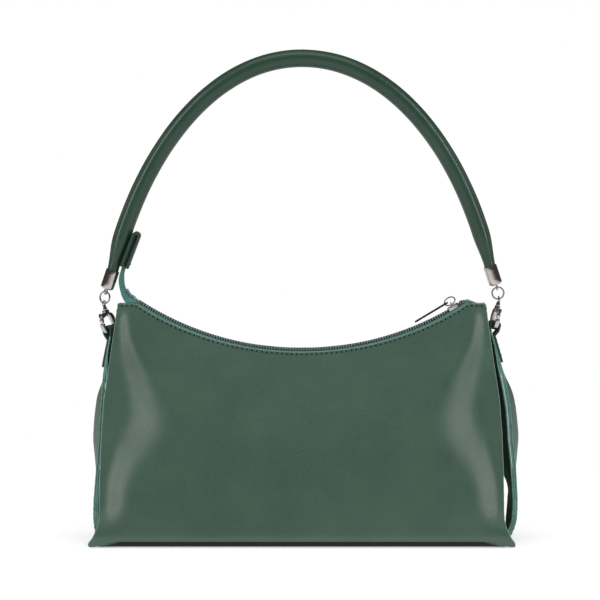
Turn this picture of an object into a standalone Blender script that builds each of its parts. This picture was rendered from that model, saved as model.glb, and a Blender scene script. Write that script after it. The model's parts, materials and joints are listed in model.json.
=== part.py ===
"""A soft leather baguette bag with a zip on a dipped top edge and a clip-on tubular handle.

The model is in metres with +Z up. Its origin is the middle of the base's underside,
the bag is long in X and its front faces -Y. The handle hangs on two swivel clasps, each
hooked through the folded loop of a leather strap that is sewn in at the base.
"""
import math

import bmesh
import bpy
from mathutils import Matrix, Vector

MM = 0.001

# Gaps between pieces that touch on the real bag.
SEAT_GAP = 0.3 * MM
FINE_GAP = 0.22 * MM
CUT_OVERRUN = 1.0 * MM

# Bag body.
BASE_DEPTH = 90 * MM
BODY_HALF_LENGTH = 141 * MM
TOP_HALF_LENGTH = 129.5 * MM
CORNER_HEIGHT = 167.8 * MM
EAR_REACH = 6.5 * MM
EAR_HEIGHT = 22 * MM
EAR_TIP_HEIGHT = 4 * MM
PANEL_LEATHER = 1.8 * MM
PANEL_LEATHER_ACROSS = PANEL_LEATHER * 1.3
BASE_ROLL_RADIUS = 8 * MM
SIDE_TUCK = 7 * MM
TOP_HALF_DEPTH = 8.5 * MM
TOP_CORNER_HALF_DEPTH = 6.6 * MM
PANEL_COLUMNS = 22
PANEL_ROWS = 8
ROLL_ROWS = 4

# How the side edge runs from the body's length at the base to the top's, by height.
SIDE_EDGE_SHARES = ((0.0, 1.0), (0.3, 0.98), (0.47, 0.9), (0.6, 0.71), (0.75, 0.39), (0.9, 0.16), (1.0, 0.0))

# Top edge: a dip on one arc between two level ends.
DIP_RADIUS = 212 * MM
DIP_HALF_ANGLE = math.radians(33.4)

# Gussets, folded inward like bellows.
GUSSET_LEATHER = 1.2 * MM
GUSSET_TOP_FOLD = 17 * MM
GUSSET_TOP_DROP = 9 * MM
GUSSET_INSET = 1.2 * MM
GUSSET_ROWS = 9
GUSSET_COLUMNS = 10
GUSSET_FOOT_SPREAD = 1.8 * MM
GUSSET_FOOT_REACH = BODY_HALF_LENGTH + GUSSET_FOOT_SPREAD

# Base, board and lining.
BASE_LEATHER = 2.0 * MM
BOARD_THICKNESS = 1.6 * MM
BOARD_MARGIN = 5 * MM
LINING_THICKNESS = 0.7 * MM
LINING_DROP = 8 * MM
LINING_END_MARGIN = 5 * MM
LINING_SIDE_COLUMNS = 9
LINING_ROWS = 5
POCKET_LENGTH = 130 * MM
POCKET_HEIGHT = 62 * MM
POCKET_FOOT = 38 * MM
POCKET_THICKNESS = 0.8 * MM
POCKET_COLUMNS = 8
POCKET_ROWS = 3

# Zip. Heights along the zip are measured from the panels' top edge towards the arc's centre.
TAPE_THICKNESS = 0.5 * MM
TAPE_SEWN_DEPTH = 5 * MM
TAPE_HEIGHT = 1.8 * MM
TAPE_FLAT_HALF_WIDTH = 3.4 * MM
TAPE_SLIT_HALF = 0.8 * MM
TAPE_COLUMNS = 26
TEETH_PITCH = 2.6 * MM
TEETH_THICKNESS = 1.2 * MM
TEETH_OUTER = 2.5 * MM
TEETH_ROOT = 1.4 * MM
TEETH_SLIT_HALF = 0.5 * MM
ZIP_HALF_ANGLE = math.radians(33.2)
STOP_LENGTH = 2.6 * MM
STOP_WALL = 0.6 * MM

# Slider and pull.
SLIDER_ANGLE = math.radians(30.7)
SLIDER_LENGTH = 8.6 * MM
SLIDER_HALF_WIDTH = 3.3 * MM
SLIDER_PLATE = 0.7 * MM
SLIDER_FLANGE = 0.5 * MM
SLIDER_POST_HALF = 0.25 * MM
BRIDGE_WIRE_RADIUS = 0.5 * MM
BRIDGE_HALF_SPAN = 1.6 * MM
PULL_RING_RADIUS = 3.95 * MM
PULL_RING_WIRE = 0.5 * MM
PULL_RING_TILT = math.radians(52)
PULL_LENGTH = 27 * MM
PULL_WIDTH = 7.4 * MM
PULL_THICKNESS = 0.9 * MM
PULL_HOLE_LENGTH = 2.2 * MM
PULL_HOLE_WIDTH = 4.2 * MM
PULL_END_MARGIN = 1.3 * MM
PULL_DIP_ANGLE = math.radians(31)

# Handle.
HANDLE_RADIUS = 6.2 * MM
HANDLE_END_RADIUS = 4.0 * MM
HANDLE_WALL = 1.3 * MM
HANDLE_TAPER = 24 * MM
HANDLE_RISE = 172.1 * MM
HANDLE_CROWN_HEIGHT = CORNER_HEIGHT + HANDLE_RISE
HANDLE_SHOULDER = 64.2 * MM
HANDLE_LEG_PULL = 82.5 * MM
HANDLE_START_LEAN = math.radians(13)
HANDLE_LEAN = math.radians(18.4)
HANDLE_RINGS = 31
HANDLE_SIDES = 12
HANDLE_CURVE_STEPS = 60

# Ferrules and their eyes.
FERRULE_RADIUS = 4.75 * MM
FERRULE_LENGTH = 14 * MM
FERRULE_BORE_DEPTH = 12 * MM
FERRULE_CHAMFER = 1.1 * MM
EYE_RADIUS = 1.7 * MM
EYE_WIRE = 0.5 * MM
EYE_STANDOFF = 1.9 * MM

# Rings between ferrules and clasps.
RING_RADIUS = 4.15 * MM
RING_WIRE = 0.6 * MM
RIGHT_RING_YAW = math.radians(6)
LEFT_RING_YAW = math.radians(-33)

# Swivel clasps, in their own frame: the hook's arc centre is the origin.
CLASP_HALF_WIDTH = 6.8 * MM
CLASP_HOLE_RADIUS = 4.4 * MM
CLASP_HALF_THICKNESS = 1.5 * MM
CLASP_HOLE_TOP = 7.0 * MM
CLASP_HOLE_TOP_RADIUS = 2.5 * MM
CLASP_SHOULDER_HEIGHT = 7.0 * MM
CLASP_COLLAR_RADIUS = 2.2 * MM
CLASP_TOP = 10.1 * MM
CLASP_TIP_HEIGHT = 1.2 * MM
CLASP_EDGE_ROUND = 0.35 * MM
CLASP_REACH = 15.0 * MM
PIVOT_ACROSS = 4.7 * MM
PIVOT_HEIGHT = 6.6 * MM
PIVOT_BOSS_RADIUS = 1.9 * MM
PIN_RADIUS = 0.45 * MM
GATE_LUG_RADIUS = 1.05 * MM
GATE_LUG_HALF = 0.6 * MM
GATE_BLADE_HALF = 1.2 * MM
GATE_TIP_RADIUS = 0.95 * MM
GATE_THUMB_REACH = 0.9 * MM
SPRING_THICKNESS = 0.2 * MM
SPRING_HALF_WIDTH = 0.45 * MM
SWIVEL_POST_RADIUS = 0.9 * MM
SWIVEL_HEAD_RADIUS = 1.3 * MM
SWIVEL_HEAD_HEIGHT = 0.7 * MM
SWIVEL_HEAD_DROP = 0.75 * MM
HOOK_STANDOFF = 6.8 * MM
HOOK_DROP = 11.8 * MM
RIGHT_HOOK_ACROSS = TOP_HALF_LENGTH + HOOK_STANDOFF
RIGHT_HOOK_HEIGHT = CORNER_HEIGHT - HOOK_DROP
RIGHT_CLASP_LEAN = math.radians(10.6)
FERRULE_OUTSET = 1.2 * MM
RIGHT_FERRULE_ACROSS = RIGHT_HOOK_ACROSS + FERRULE_OUTSET
LEFT_HOOK_ACROSS = TOP_HALF_LENGTH + HOOK_STANDOFF
PIVOT_LINE_SLOPE = 0.011
RIGHT_CLASP_YAW = math.radians(15)
LEFT_CLASP_YAW = math.radians(-42)

# Side straps.
STRAP_THICKNESS = 2.6 * MM
LOOP_LEATHER = 1.5 * MM
LOOP_HALF_WIDTH = 3.4 * MM
STRAP_HALF_WIDTH = 9.5 * MM
LOOP_SIDE_GAP = 1.2 * MM
LOOP_FLOOR_LIFT = 2.1 * MM
LOOP_PINCH_DROP = 4.6 * MM
LOOP_TAIL_LENGTH = 20 * MM
STRAP_FOOT_HEIGHT = 0.5 * MM
STRAP_TWIST = math.radians(16)
RIGHT_STRAP_BULGE = 6.2 * MM
LEFT_STRAP_BULGE = 3.2 * MM
RIGHT_STRAP_BOW = BODY_HALF_LENGTH + RIGHT_STRAP_BULGE
LEFT_STRAP_BOW = BODY_HALF_LENGTH + LEFT_STRAP_BULGE
STRAP_STATIONS = 22

# Zip tail, which rises beside the handle's left leg, and its leather end tab.
TAIL_HALF_WIDTH = 6 * MM
TAIL_FOLD_DEPTH = 2.6 * MM
TAIL_BULGE = 7.9 * MM
TAIL_RISE = 44.5 * MM
TAIL_STATIONS = 16
TAB_LEATHER = 1.3 * MM
TAB_HALF_WIDTH = 7.5 * MM
TAB_LENGTH = 24 * MM

# From the zip's end up: how far the tail has bulged outward, and how far it has risen.
TAIL_ROUTE_SHARES = (
    (0.0, 0.0), (0.66, 0.09), (0.96, 0.22), (1.0, 0.36), (0.76, 0.535), (0.25, 0.77), (-0.25, 1.0))

LEATHER_GREEN = (0.062, 0.105, 0.082)
EDGE_TEAL = (0.11, 0.25, 0.21)
TEETH_GREEN = (0.012, 0.06, 0.055)
NICKEL = (0.42, 0.39, 0.385)
DARK_NICKEL = (0.05, 0.045, 0.045)
LINING_GREEN = (0.05, 0.09, 0.075)
BOARD_GREY = (0.2, 0.19, 0.17)
CORE_CREAM = (0.6, 0.56, 0.48)


def clear_scene():
    for thing in list(bpy.data.objects):
        bpy.data.objects.remove(thing, do_unlink=True)


def material(name, colour, roughness, metallic=0.0):
    made = bpy.data.materials.new(name)
    made.use_nodes = True
    shader = made.node_tree.nodes["Principled BSDF"]
    shader.inputs["Base Color"].default_value = (*colour, 1.0)
    shader.inputs["Roughness"].default_value = roughness
    shader.inputs["Metallic"].default_value = metallic
    return made


def mix(start, end, share):
    return start + (end - start) * share


def smooth_step(share):
    held = min(max(share, 0.0), 1.0)
    return held * held * (3.0 - 2.0 * held)


def read_shares(shares, place):
    """Reads a table of (place, value) shares with a smooth turn at each entry."""
    for before, after in zip(shares, shares[1:]):
        if place <= after[0]:
            return mix(before[1], after[1], (place - before[0]) / (after[0] - before[0]))
    return shares[-1][1]


def smooth_route(route, count):
    """Reads count points, evenly spaced, from a smooth curve through a route's points."""
    ends = [route[0] * 2 - route[1], *route, route[-1] * 2 - route[-2]]
    fine = []
    steps = 12
    for index in range(1, len(ends) - 2):
        before, start, end, after = ends[index - 1:index + 3]
        for step in range(steps):
            t = step / steps
            fine.append(0.5 * (
                start * 2
                + (end - before) * t
                + (before * 2 - start * 5 + end * 4 - after) * t ** 2
                + (start * 3 - before - end * 3 + after) * t ** 3))
    fine.append(route[-1].copy())
    return even_points(fine, count)


def even_points(fine, count):
    lengths = [0.0]
    for start, end in zip(fine, fine[1:]):
        lengths.append(lengths[-1] + (end - start).length)
    points = []
    index = 0
    for step in range(count):
        target = lengths[-1] * step / (count - 1)
        while index < len(fine) - 2 and lengths[index + 1] < target:
            index += 1
        span = lengths[index + 1] - lengths[index]
        points.append(fine[index].lerp(fine[index + 1], (target - lengths[index]) / span))
    return points


def add_object(name, mesh_data, finish, matrix=None):
    """Wraps a bmesh, whose points are in the object's own frame, as a named object."""
    bmesh.ops.recalc_face_normals(mesh_data, faces=mesh_data.faces)
    return add_object_as_is(name, mesh_data, finish, matrix)


def add_object_as_is(name, mesh_data, finish, matrix=None):
    mesh = bpy.data.meshes.new(name)
    mesh_data.to_mesh(mesh)
    mesh_data.free()
    mesh.materials.append(finish)
    mesh.shade_smooth()
    mesh.set_sharp_from_angle(angle=math.radians(35))
    made = bpy.data.objects.new(name, mesh)
    bpy.context.scene.collection.objects.link(made)
    if matrix is not None:
        made.matrix_world = matrix
    return made


def sheet(name, rows, thickness, finish, closed=False, matrix=None):
    """A leather or tape sheet: a grid of points on its outer face, made solid inward."""
    mesh_data = bmesh.new()
    grid = [[mesh_data.verts.new(point) for point in row] for row in rows]
    for lower, upper in zip(grid, grid[1:]):
        count = len(lower)
        for index in range(count if closed else count - 1):
            after = (index + 1) % count
            mesh_data.faces.new((lower[index], lower[after], upper[after], upper[index]))
    made = add_object_as_is(name, mesh_data, finish, matrix)
    thicken(made, thickness)
    return made


def thicken(made, thickness):
    solid = made.modifiers.new("leather", 'SOLIDIFY')
    solid.thickness = thickness
    solid.offset = -1.0
    solid.use_even_offset = True


def loft(name, rings, finish, matrix=None):
    """A solid through closed rings of equal count, capped at both ends."""
    mesh_data = bmesh.new()
    grid = [[mesh_data.verts.new(point) for point in ring] for ring in rings]
    for lower, upper in zip(grid, grid[1:]):
        count = len(lower)
        for index in range(count):
            after = (index + 1) % count
            mesh_data.faces.new((lower[index], lower[after], upper[after], upper[index]))
    mesh_data.faces.new(list(reversed(grid[0])))
    mesh_data.faces.new(grid[-1])
    return add_object(name, mesh_data, finish, matrix)


def slab(name, outline, low, high, finish, matrix=None, along="Z"):
    """A flat outline of (across, up) points extruded between two levels of one axis."""
    mesh_data = bmesh.new()
    place = {
        "Z": lambda across, up, level: (across, up, level),
        "Y": lambda across, up, level: (across, level, up),
        "X": lambda across, up, level: (level, across, up),
    }[along]
    base = [mesh_data.verts.new(place(across, up, low)) for across, up in outline]
    face = mesh_data.faces.new(base)
    grown = bmesh.ops.extrude_face_region(mesh_data, geom=[face])
    moved = [item for item in grown["geom"] if isinstance(item, bmesh.types.BMVert)]
    shift = Vector(place(0.0, 0.0, high - low))
    bmesh.ops.translate(mesh_data, verts=moved, vec=shift)
    return add_object(name, mesh_data, finish, matrix)


def turned(name, profile, steps, finish, matrix=None):
    """A turned piece: (radius, height) points down the outer side, spun by a Screw modifier."""
    mesh_data = bmesh.new()
    points = [mesh_data.verts.new((radius, 0.0, height)) for radius, height in profile]
    for start, end in zip(points, points[1:]):
        mesh_data.edges.new((start, end))
    made = add_object_as_is(name, mesh_data, finish, matrix)
    spin = made.modifiers.new("lathe", 'SCREW')
    spin.steps = steps
    spin.render_steps = steps
    spin.use_merge_vertices = True
    spin.merge_threshold = 0.00001
    return made


def hoop(name, radius, wire, finish, matrix=None, steps=20, sides=6):
    """A round wire ring about its own Z axis."""
    bpy.ops.mesh.primitive_torus_add(
        major_radius=radius, minor_radius=wire, major_segments=steps, minor_segments=sides)
    made = bpy.context.object
    made.name = name
    made.data.name = name
    made.data.materials.append(finish)
    made.data.shade_smooth()
    if matrix is not None:
        made.matrix_world = matrix
    return made


def combine(made, other, operation):
    """Joins or cuts one object with another, which stays as a hidden guide."""
    other.hide_render = True
    other.display_type = 'WIRE'
    boolean = made.modifiers.new(operation.lower(), 'BOOLEAN')
    boolean.operation = operation
    boolean.object = other
    boolean.solver = 'EXACT'
    return made


def pivot(name, place, parent=None):
    """An empty on a joint's axis, which carries the pieces that turn there."""
    made = bpy.data.objects.new(name, None)
    bpy.context.scene.collection.objects.link(made)
    made.location = place
    if parent is not None:
        hang(made, parent)
    return made


def hang(made, parent):
    bpy.context.view_layer.update()
    made.parent = parent
    made.matrix_parent_inverse = parent.matrix_world.inverted()


def frame_matrix(place, across, normal, up):
    """A matrix with the given X, Y and Z directions at a place."""
    matrix = Matrix((across, normal, up)).transposed().to_4x4()
    matrix.translation = place
    return matrix


def arc_points(centre, radius, start, end, count):
    """Points on an arc in a plane, from one angle to another."""
    points = []
    for step in range(count):
        angle = mix(start, end, step / (count - 1))
        points.append((centre[0] + radius * math.cos(angle), centre[1] + radius * math.sin(angle)))
    return points


# The body's form.

DIP_CENTRE_HEIGHT = CORNER_HEIGHT + DIP_RADIUS * math.cos(DIP_HALF_ANGLE)
BASE_HALF_DEPTH = BASE_DEPTH / 2


def side_edge(height):
    """How far the body reaches sideways at a height."""
    straight = mix(TOP_HALF_LENGTH, BODY_HALF_LENGTH, read_shares(SIDE_EDGE_SHARES, height / CORNER_HEIGHT))
    ear = max(0.0, 1.0 - height / EAR_HEIGHT) ** 2
    rounding = max(0.0, 1.0 - height / EAR_TIP_HEIGHT) ** 2
    return straight + EAR_REACH * (ear - rounding * 0.7)


def top_edge(across):
    """Height of the panels' top edge."""
    limit = DIP_RADIUS * math.sin(DIP_HALF_ANGLE)
    held = min(abs(across), limit)
    return DIP_CENTRE_HEIGHT - math.sqrt(DIP_RADIUS ** 2 - held ** 2)


def half_depth(share, height, top):
    """Half of the body's depth, at a share of its length and a height below its top edge."""
    edge_depth = mix(TOP_HALF_DEPTH, TOP_CORNER_HALF_DEPTH, share ** 2)
    rise = min(max((height - BASE_ROLL_RADIUS) / (top - BASE_ROLL_RADIUS), 0.0), 1.0)
    tuck = SIDE_TUCK * abs(share) ** 5 * math.sin(math.pi * rise)
    return mix(BASE_HALF_DEPTH, edge_depth, rise ** 1.25) - tuck


def panel_point(share, rise, inward=0.0):
    """A point on the front panel, rise 0 at the roll's top and 1 at the top edge."""
    top = top_edge(share * TOP_HALF_LENGTH)
    height = mix(BASE_ROLL_RADIUS, top, rise)
    depth = half_depth(share, height, top) - inward
    return Vector((share * side_edge(height), -depth, height))


def roll_point(share, angle):
    """A point on the roll that turns a panel under the base, angle 0 at its top."""
    height = BASE_ROLL_RADIUS * (1.0 - math.sin(angle))
    depth = BASE_HALF_DEPTH - BASE_ROLL_RADIUS * (1.0 - math.cos(angle))
    return Vector((share * side_edge(height), -depth, height))


def mirrored(rows):
    """The same rows on the back of the bag, turned so that they face outward."""
    return [[Vector((-point.x, -point.y, point.z)) for point in row] for row in rows]


def panel_rows():
    shares = [mix(-1.0, 1.0, index / PANEL_COLUMNS) for index in range(PANEL_COLUMNS + 1)]
    rows = []
    for step in range(ROLL_ROWS):
        angle = math.pi / 2 * (1.0 - step / ROLL_ROWS)
        rows.append([roll_point(share, angle) for share in shares])
    for step in range(PANEL_ROWS + 1):
        rows.append([panel_point(share, step / PANEL_ROWS) for share in shares])
    return rows


def make_panels(leather):
    rows = panel_rows()
    return [
        sheet("front_panel", rows, PANEL_LEATHER, leather),
        sheet("back_panel", mirrored(rows), PANEL_LEATHER, leather),
    ]


def gusset_rows():
    """Rows of the right gusset, from the base up, each from front to back."""
    foot = BASE_LEATHER + SEAT_GAP
    crown = CORNER_HEIGHT - GUSSET_TOP_DROP
    rows = []
    for step in range(GUSSET_ROWS + 1):
        rise = step / GUSSET_ROWS
        height = mix(foot, crown, rise)
        edge = side_edge(height) - GUSSET_INSET
        if height < BASE_ROLL_RADIUS:
            inner_roll = BASE_ROLL_RADIUS - PANEL_LEATHER_ACROSS
            drop = BASE_ROLL_RADIUS - height
            depth = BASE_HALF_DEPTH - BASE_ROLL_RADIUS + math.sqrt(max(0.0, inner_roll ** 2 - drop ** 2))
        else:
            depth = half_depth(1.0, height, CORNER_HEIGHT) - PANEL_LEATHER_ACROSS
        half = depth - GUSSET_LEATHER - SEAT_GAP
        fold = (edge - GUSSET_FOOT_REACH + GUSSET_INSET) * (1.0 - smooth_step(rise * 3))
        fold += GUSSET_TOP_FOLD * smooth_step(rise) ** 0.8
        row = []
        for index in range(GUSSET_COLUMNS + 1):
            across = mix(-1.0, 1.0, index / GUSSET_COLUMNS)
            inward = fold * (1.0 - abs(across) ** 1.35)
            row.append(Vector((edge - inward, half * across, height)))
        rows.append(row)
    return rows


def make_gussets(leather):
    rows = gusset_rows()
    return [
        sheet("right_gusset", rows, GUSSET_LEATHER, leather),
        sheet("left_gusset", mirrored(rows), GUSSET_LEATHER, leather),
    ]


def round_rectangle(half_length, half_width, radius, corner_points=4):
    """Outline of a rectangle with round corners."""
    outline = []
    for index, (side, end) in enumerate(((1, 1), (-1, 1), (-1, -1), (1, -1))):
        centre = (side * (half_length - radius), end * (half_width - radius))
        start = index * math.pi / 2
        outline += arc_points(centre, radius, start, start + math.pi / 2, corner_points)
    return outline


BASE_PANEL_HALF_WIDTH = BASE_HALF_DEPTH - BASE_ROLL_RADIUS - SEAT_GAP - PANEL_LEATHER * 0.25
BASE_PANEL_HALF_LENGTH = BODY_HALF_LENGTH + GUSSET_INSET


def make_base(leather, board):
    corner = BASE_ROLL_RADIUS / 2
    panel = slab(
        "base_panel", round_rectangle(BASE_PANEL_HALF_LENGTH, BASE_PANEL_HALF_WIDTH, corner),
        0.0, BASE_LEATHER, leather)
    foot = BASE_LEATHER + SEAT_GAP
    outline = round_rectangle(
        BODY_HALF_LENGTH - BOARD_MARGIN, BASE_PANEL_HALF_WIDTH - BOARD_MARGIN / 2, corner)
    stiffener = slab("base_board", outline, foot, foot + BOARD_THICKNESS, board)
    return [panel, stiffener]


LINING_FOOT = BASE_LEATHER + BOARD_THICKNESS + 2 * SEAT_GAP + LINING_THICKNESS


def lining_reach(height):
    """How far the lining runs sideways at a height, inside the gussets' folds."""
    fold = GUSSET_TOP_FOLD * smooth_step(height / CORNER_HEIGHT) ** 0.8
    return side_edge(max(height, EAR_HEIGHT)) - fold - LINING_END_MARGIN


def lining_ring(rise):
    """One closed ring round the lining's inner face, rise 0 at its floor and 1 at its mouth."""
    back = []
    for index in range(LINING_SIDE_COLUMNS + 1):
        share = mix(-1.0, 1.0, index / LINING_SIDE_COLUMNS)
        crown = CORNER_HEIGHT - LINING_DROP
        reach = lining_reach(mix(LINING_FOOT, crown, rise))
        full_top = top_edge(share * reach)
        height = mix(LINING_FOOT, full_top - LINING_DROP, rise)
        panel_share = share * reach / side_edge(height)
        depth = half_depth(panel_share, height, top_edge(panel_share * TOP_HALF_LENGTH))
        rolled = max(0.0, 1.0 - height / BASE_ROLL_RADIUS)
        depth -= BASE_ROLL_RADIUS * rolled ** 2
        depth -= PANEL_LEATHER_ACROSS + TAPE_THICKNESS + LINING_THICKNESS + 2 * SEAT_GAP
        back.append(Vector((share * reach, depth, height)))
    front = [Vector((-point.x, -point.y, point.z)) for point in back]
    return back + front


def make_lining(cloth):
    mesh_data = bmesh.new()
    rings = []
    for step in range(LINING_ROWS + 1):
        rings.append([mesh_data.verts.new(point) for point in lining_ring(step / LINING_ROWS)])
    count = len(rings[0])
    half = count // 2
    for lower, upper in zip(rings, rings[1:]):
        for index in range(count):
            after = (index + 1) % count
            mesh_data.faces.new((lower[index], upper[index], upper[after], lower[after]))
    floor = rings[0]
    for index in range(half - 1):
        facing = count - 1 - index
        mesh_data.faces.new((floor[index], floor[index + 1], floor[facing - 1], floor[facing]))
    bmesh.ops.recalc_face_normals(mesh_data, faces=mesh_data.faces)
    made = add_object_as_is("lining", mesh_data, cloth)
    solid = made.modifiers.new("cloth", 'SOLIDIFY')
    solid.thickness = LINING_THICKNESS
    solid.offset = 1.0
    solid.use_even_offset = True
    return made


def make_slip_pocket(cloth):
    """A flat pocket sewn to the lining inside the back."""
    rows = []
    for step in range(POCKET_ROWS + 1):
        height = POCKET_FOOT + POCKET_HEIGHT * step / POCKET_ROWS
        row = []
        for index in range(POCKET_COLUMNS + 1):
            across = mix(POCKET_LENGTH, -POCKET_LENGTH, index / POCKET_COLUMNS) / 2
            depth = half_depth(across / side_edge(height), height, top_edge(across))
            depth -= PANEL_LEATHER_ACROSS + TAPE_THICKNESS + LINING_THICKNESS + 4 * SEAT_GAP
            row.append(Vector((across, depth - POCKET_THICKNESS / 2, height)))
        rows.append(row)
    return sheet("slip_pocket", rows, POCKET_THICKNESS, cloth)


# The zip.

def zip_point(angle, offset, lift):
    """A point by angle along the dip's arc, offset in Y and lift above the panels' top edge."""
    radius = DIP_RADIUS - lift
    return Vector((radius * math.sin(angle), offset, DIP_CENTRE_HEIGHT - radius * math.cos(angle)))


def tape_row_widths(angle):
    """The tape's section at an angle: offsets from the middle and lifts, outside to inside."""
    share = DIP_RADIUS * math.sin(angle) / TOP_HALF_LENGTH
    inner = mix(TOP_HALF_DEPTH, TOP_CORNER_HALF_DEPTH, share ** 2) - PANEL_LEATHER - SEAT_GAP - TAPE_THICKNESS
    slope = (BASE_HALF_DEPTH - TOP_HALF_DEPTH) / CORNER_HEIGHT
    return (
        (inner + TAPE_SEWN_DEPTH * slope, -TAPE_SEWN_DEPTH),
        (inner, -TAPE_THICKNESS),
        (min(inner, TAPE_FLAT_HALF_WIDTH + TAPE_THICKNESS), TAPE_HEIGHT - TAPE_THICKNESS),
        (TAPE_FLAT_HALF_WIDTH, TAPE_HEIGHT),
        (TAPE_SLIT_HALF, TAPE_HEIGHT),
    )


def tape_rows():
    """Rows of the front tape, each along the zip."""
    angles = [mix(-ZIP_HALF_ANGLE, ZIP_HALF_ANGLE, step / TAPE_COLUMNS) for step in range(TAPE_COLUMNS + 1)]
    sections = [tape_row_widths(angle) for angle in angles]
    rows = []
    for level in range(len(sections[0])):
        rows.append([
            zip_point(angle, -section[level][0], section[level][1])
            for angle, section in zip(angles, sections)])
    return rows


TEETH_FOOT = TAPE_HEIGHT + FINE_GAP
TEETH_TOP = TEETH_FOOT + TEETH_THICKNESS
TEETH_RADIUS = DIP_RADIUS - TEETH_TOP


def teeth_rows(first_tip):
    """Outer edge and pointed inner edge of one row of teeth, as (angle, width) on its top."""
    count = 2 * round(ZIP_HALF_ANGLE * TEETH_RADIUS / TEETH_PITCH) * 2
    outer = []
    inner = []
    for step in range(count + 1):
        angle = mix(-ZIP_HALF_ANGLE, ZIP_HALF_ANGLE, step / count)
        width = TEETH_SLIT_HALF if (step + first_tip) % 2 else TEETH_ROOT
        outer.append(zip_point(angle, -TEETH_OUTER, TEETH_TOP))
        inner.append(zip_point(angle, -width, TEETH_TOP))
    return [outer, inner]


def make_zip(tape, teeth):
    front_tape = tape_rows()
    front_teeth = teeth_rows(0)
    back_teeth = teeth_rows(1)
    return [
        sheet("front_zip_tape", front_tape, TAPE_THICKNESS, tape),
        sheet("back_zip_tape", mirrored(front_tape), TAPE_THICKNESS, tape),
        sheet("front_zip_teeth", front_teeth, TEETH_THICKNESS, teeth),
        sheet("back_zip_teeth", mirrored(back_teeth), TEETH_THICKNESS, teeth),
    ]


def zip_frame(angle, lift):
    """A frame on the zip: X along it to the right, Y to the back, Z away from the bag."""
    along = Vector((math.cos(angle), 0.0, math.sin(angle)))
    up = Vector((-math.sin(angle), 0.0, math.cos(angle)))
    return frame_matrix(zip_point(angle, 0.0, lift), along, Vector((0, 1, 0)), up)


# The slider.

SLIDER_ROOF = TEETH_TOP + SEAT_GAP
SLIDER_TOP = SLIDER_ROOF + SLIDER_PLATE
SLIDER_FLOOR = TAPE_HEIGHT - TAPE_THICKNESS - SEAT_GAP
BRIDGE_HOLE_LIFT = SLIDER_TOP + SEAT_GAP + PULL_RING_WIRE


def slider_section():
    """The slider seen along the zip: two plates, a thin post and flanges over the teeth."""
    wide = SLIDER_HALF_WIDTH
    inner = wide - SLIDER_FLANGE
    post = SLIDER_POST_HALF
    lip = TAPE_HEIGHT + SEAT_GAP
    half = [
        (0.0, SLIDER_TOP), (wide - SLIDER_FLANGE, SLIDER_TOP), (wide, SLIDER_TOP - SLIDER_FLANGE),
        (wide, lip), (inner, lip), (inner, SLIDER_ROOF), (post, SLIDER_ROOF), (post, SLIDER_FLOOR),
        (inner, SLIDER_FLOOR), (inner, SLIDER_FLOOR - SLIDER_PLATE), (0.0, SLIDER_FLOOR - SLIDER_PLATE),
    ]
    other = [(-across, up) for across, up in reversed(half[1:-1])]
    return half + other


def slider_plan():
    """The slider from above: a blunt shield, wider at the mouth."""
    half = SLIDER_LENGTH / 2
    wide = SLIDER_HALF_WIDTH + CUT_OVERRUN
    waist = SLIDER_HALF_WIDTH * 0.78
    nose = SLIDER_HALF_WIDTH * 0.55
    return [
        (half, nose), (half * 0.7, SLIDER_HALF_WIDTH), (0.0, wide), (-half * 0.4, SLIDER_HALF_WIDTH),
        (-half, waist), (-half, -waist), (-half * 0.4, -SLIDER_HALF_WIDTH), (0.0, -wide),
        (half * 0.7, -SLIDER_HALF_WIDTH), (half, -nose),
    ]


def make_slider(metal, dark):
    place = zip_frame(SLIDER_ANGLE, 0.0)
    half = SLIDER_LENGTH / 2
    body = slab("slider_body", slider_section(), -half, half, metal, place, along="X")
    shape = slab("slider_shape", slider_plan(), SLIDER_FLOOR - SLIDER_PLATE - CUT_OVERRUN,
                 SLIDER_TOP + CUT_OVERRUN, metal, place)
    combine(body, shape, 'INTERSECT')
    crown = BRIDGE_HOLE_LIFT + PULL_RING_WIRE + SEAT_GAP + BRIDGE_WIRE_RADIUS
    foot = SLIDER_TOP - BRIDGE_WIRE_RADIUS / 2
    bridge = wire_arch("slider_bridge", BRIDGE_HALF_SPAN, foot, crown, BRIDGE_WIRE_RADIUS, metal, place)
    combine(body, bridge, 'UNION')

    hole = zip_frame(SLIDER_ANGLE, BRIDGE_HOLE_LIFT)
    lean = hole @ Matrix.Rotation(-PULL_RING_TILT, 4, 'X')
    centre = lean @ Matrix.Translation((0.0, 0.0, PULL_RING_RADIUS))
    ring = hoop("pull_ring", PULL_RING_RADIUS, PULL_RING_WIRE, metal,
                centre @ Matrix.Rotation(math.pi / 2, 4, 'X'))
    pull = make_pull(centre, dark)
    return body, ring, pull, centre


def wire_arch(name, half_span, foot, crown, wire, finish, matrix):
    """An arch of wire across the slider, standing on its top plate."""
    count = 9
    sides = 8
    middle = []
    for step in range(count):
        angle = math.pi * step / (count - 1)
        rise = (crown - foot) * math.sin(angle) ** 0.7
        middle.append(Vector((0.0, -half_span * math.cos(angle), foot + rise)))
    rings = []
    along = Vector((1, 0, 0))
    for index, place in enumerate(middle):
        run = (middle[min(index + 1, count - 1)] - middle[max(index - 1, 0)]).normalized()
        normal = run.cross(along)
        ring = []
        for side in range(sides):
            angle = 2 * math.pi * side / sides
            ring.append(place + (along * math.cos(angle) + normal * math.sin(angle)) * wire)
        rings.append(ring)
    return loft(name, rings, finish, matrix)


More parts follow.
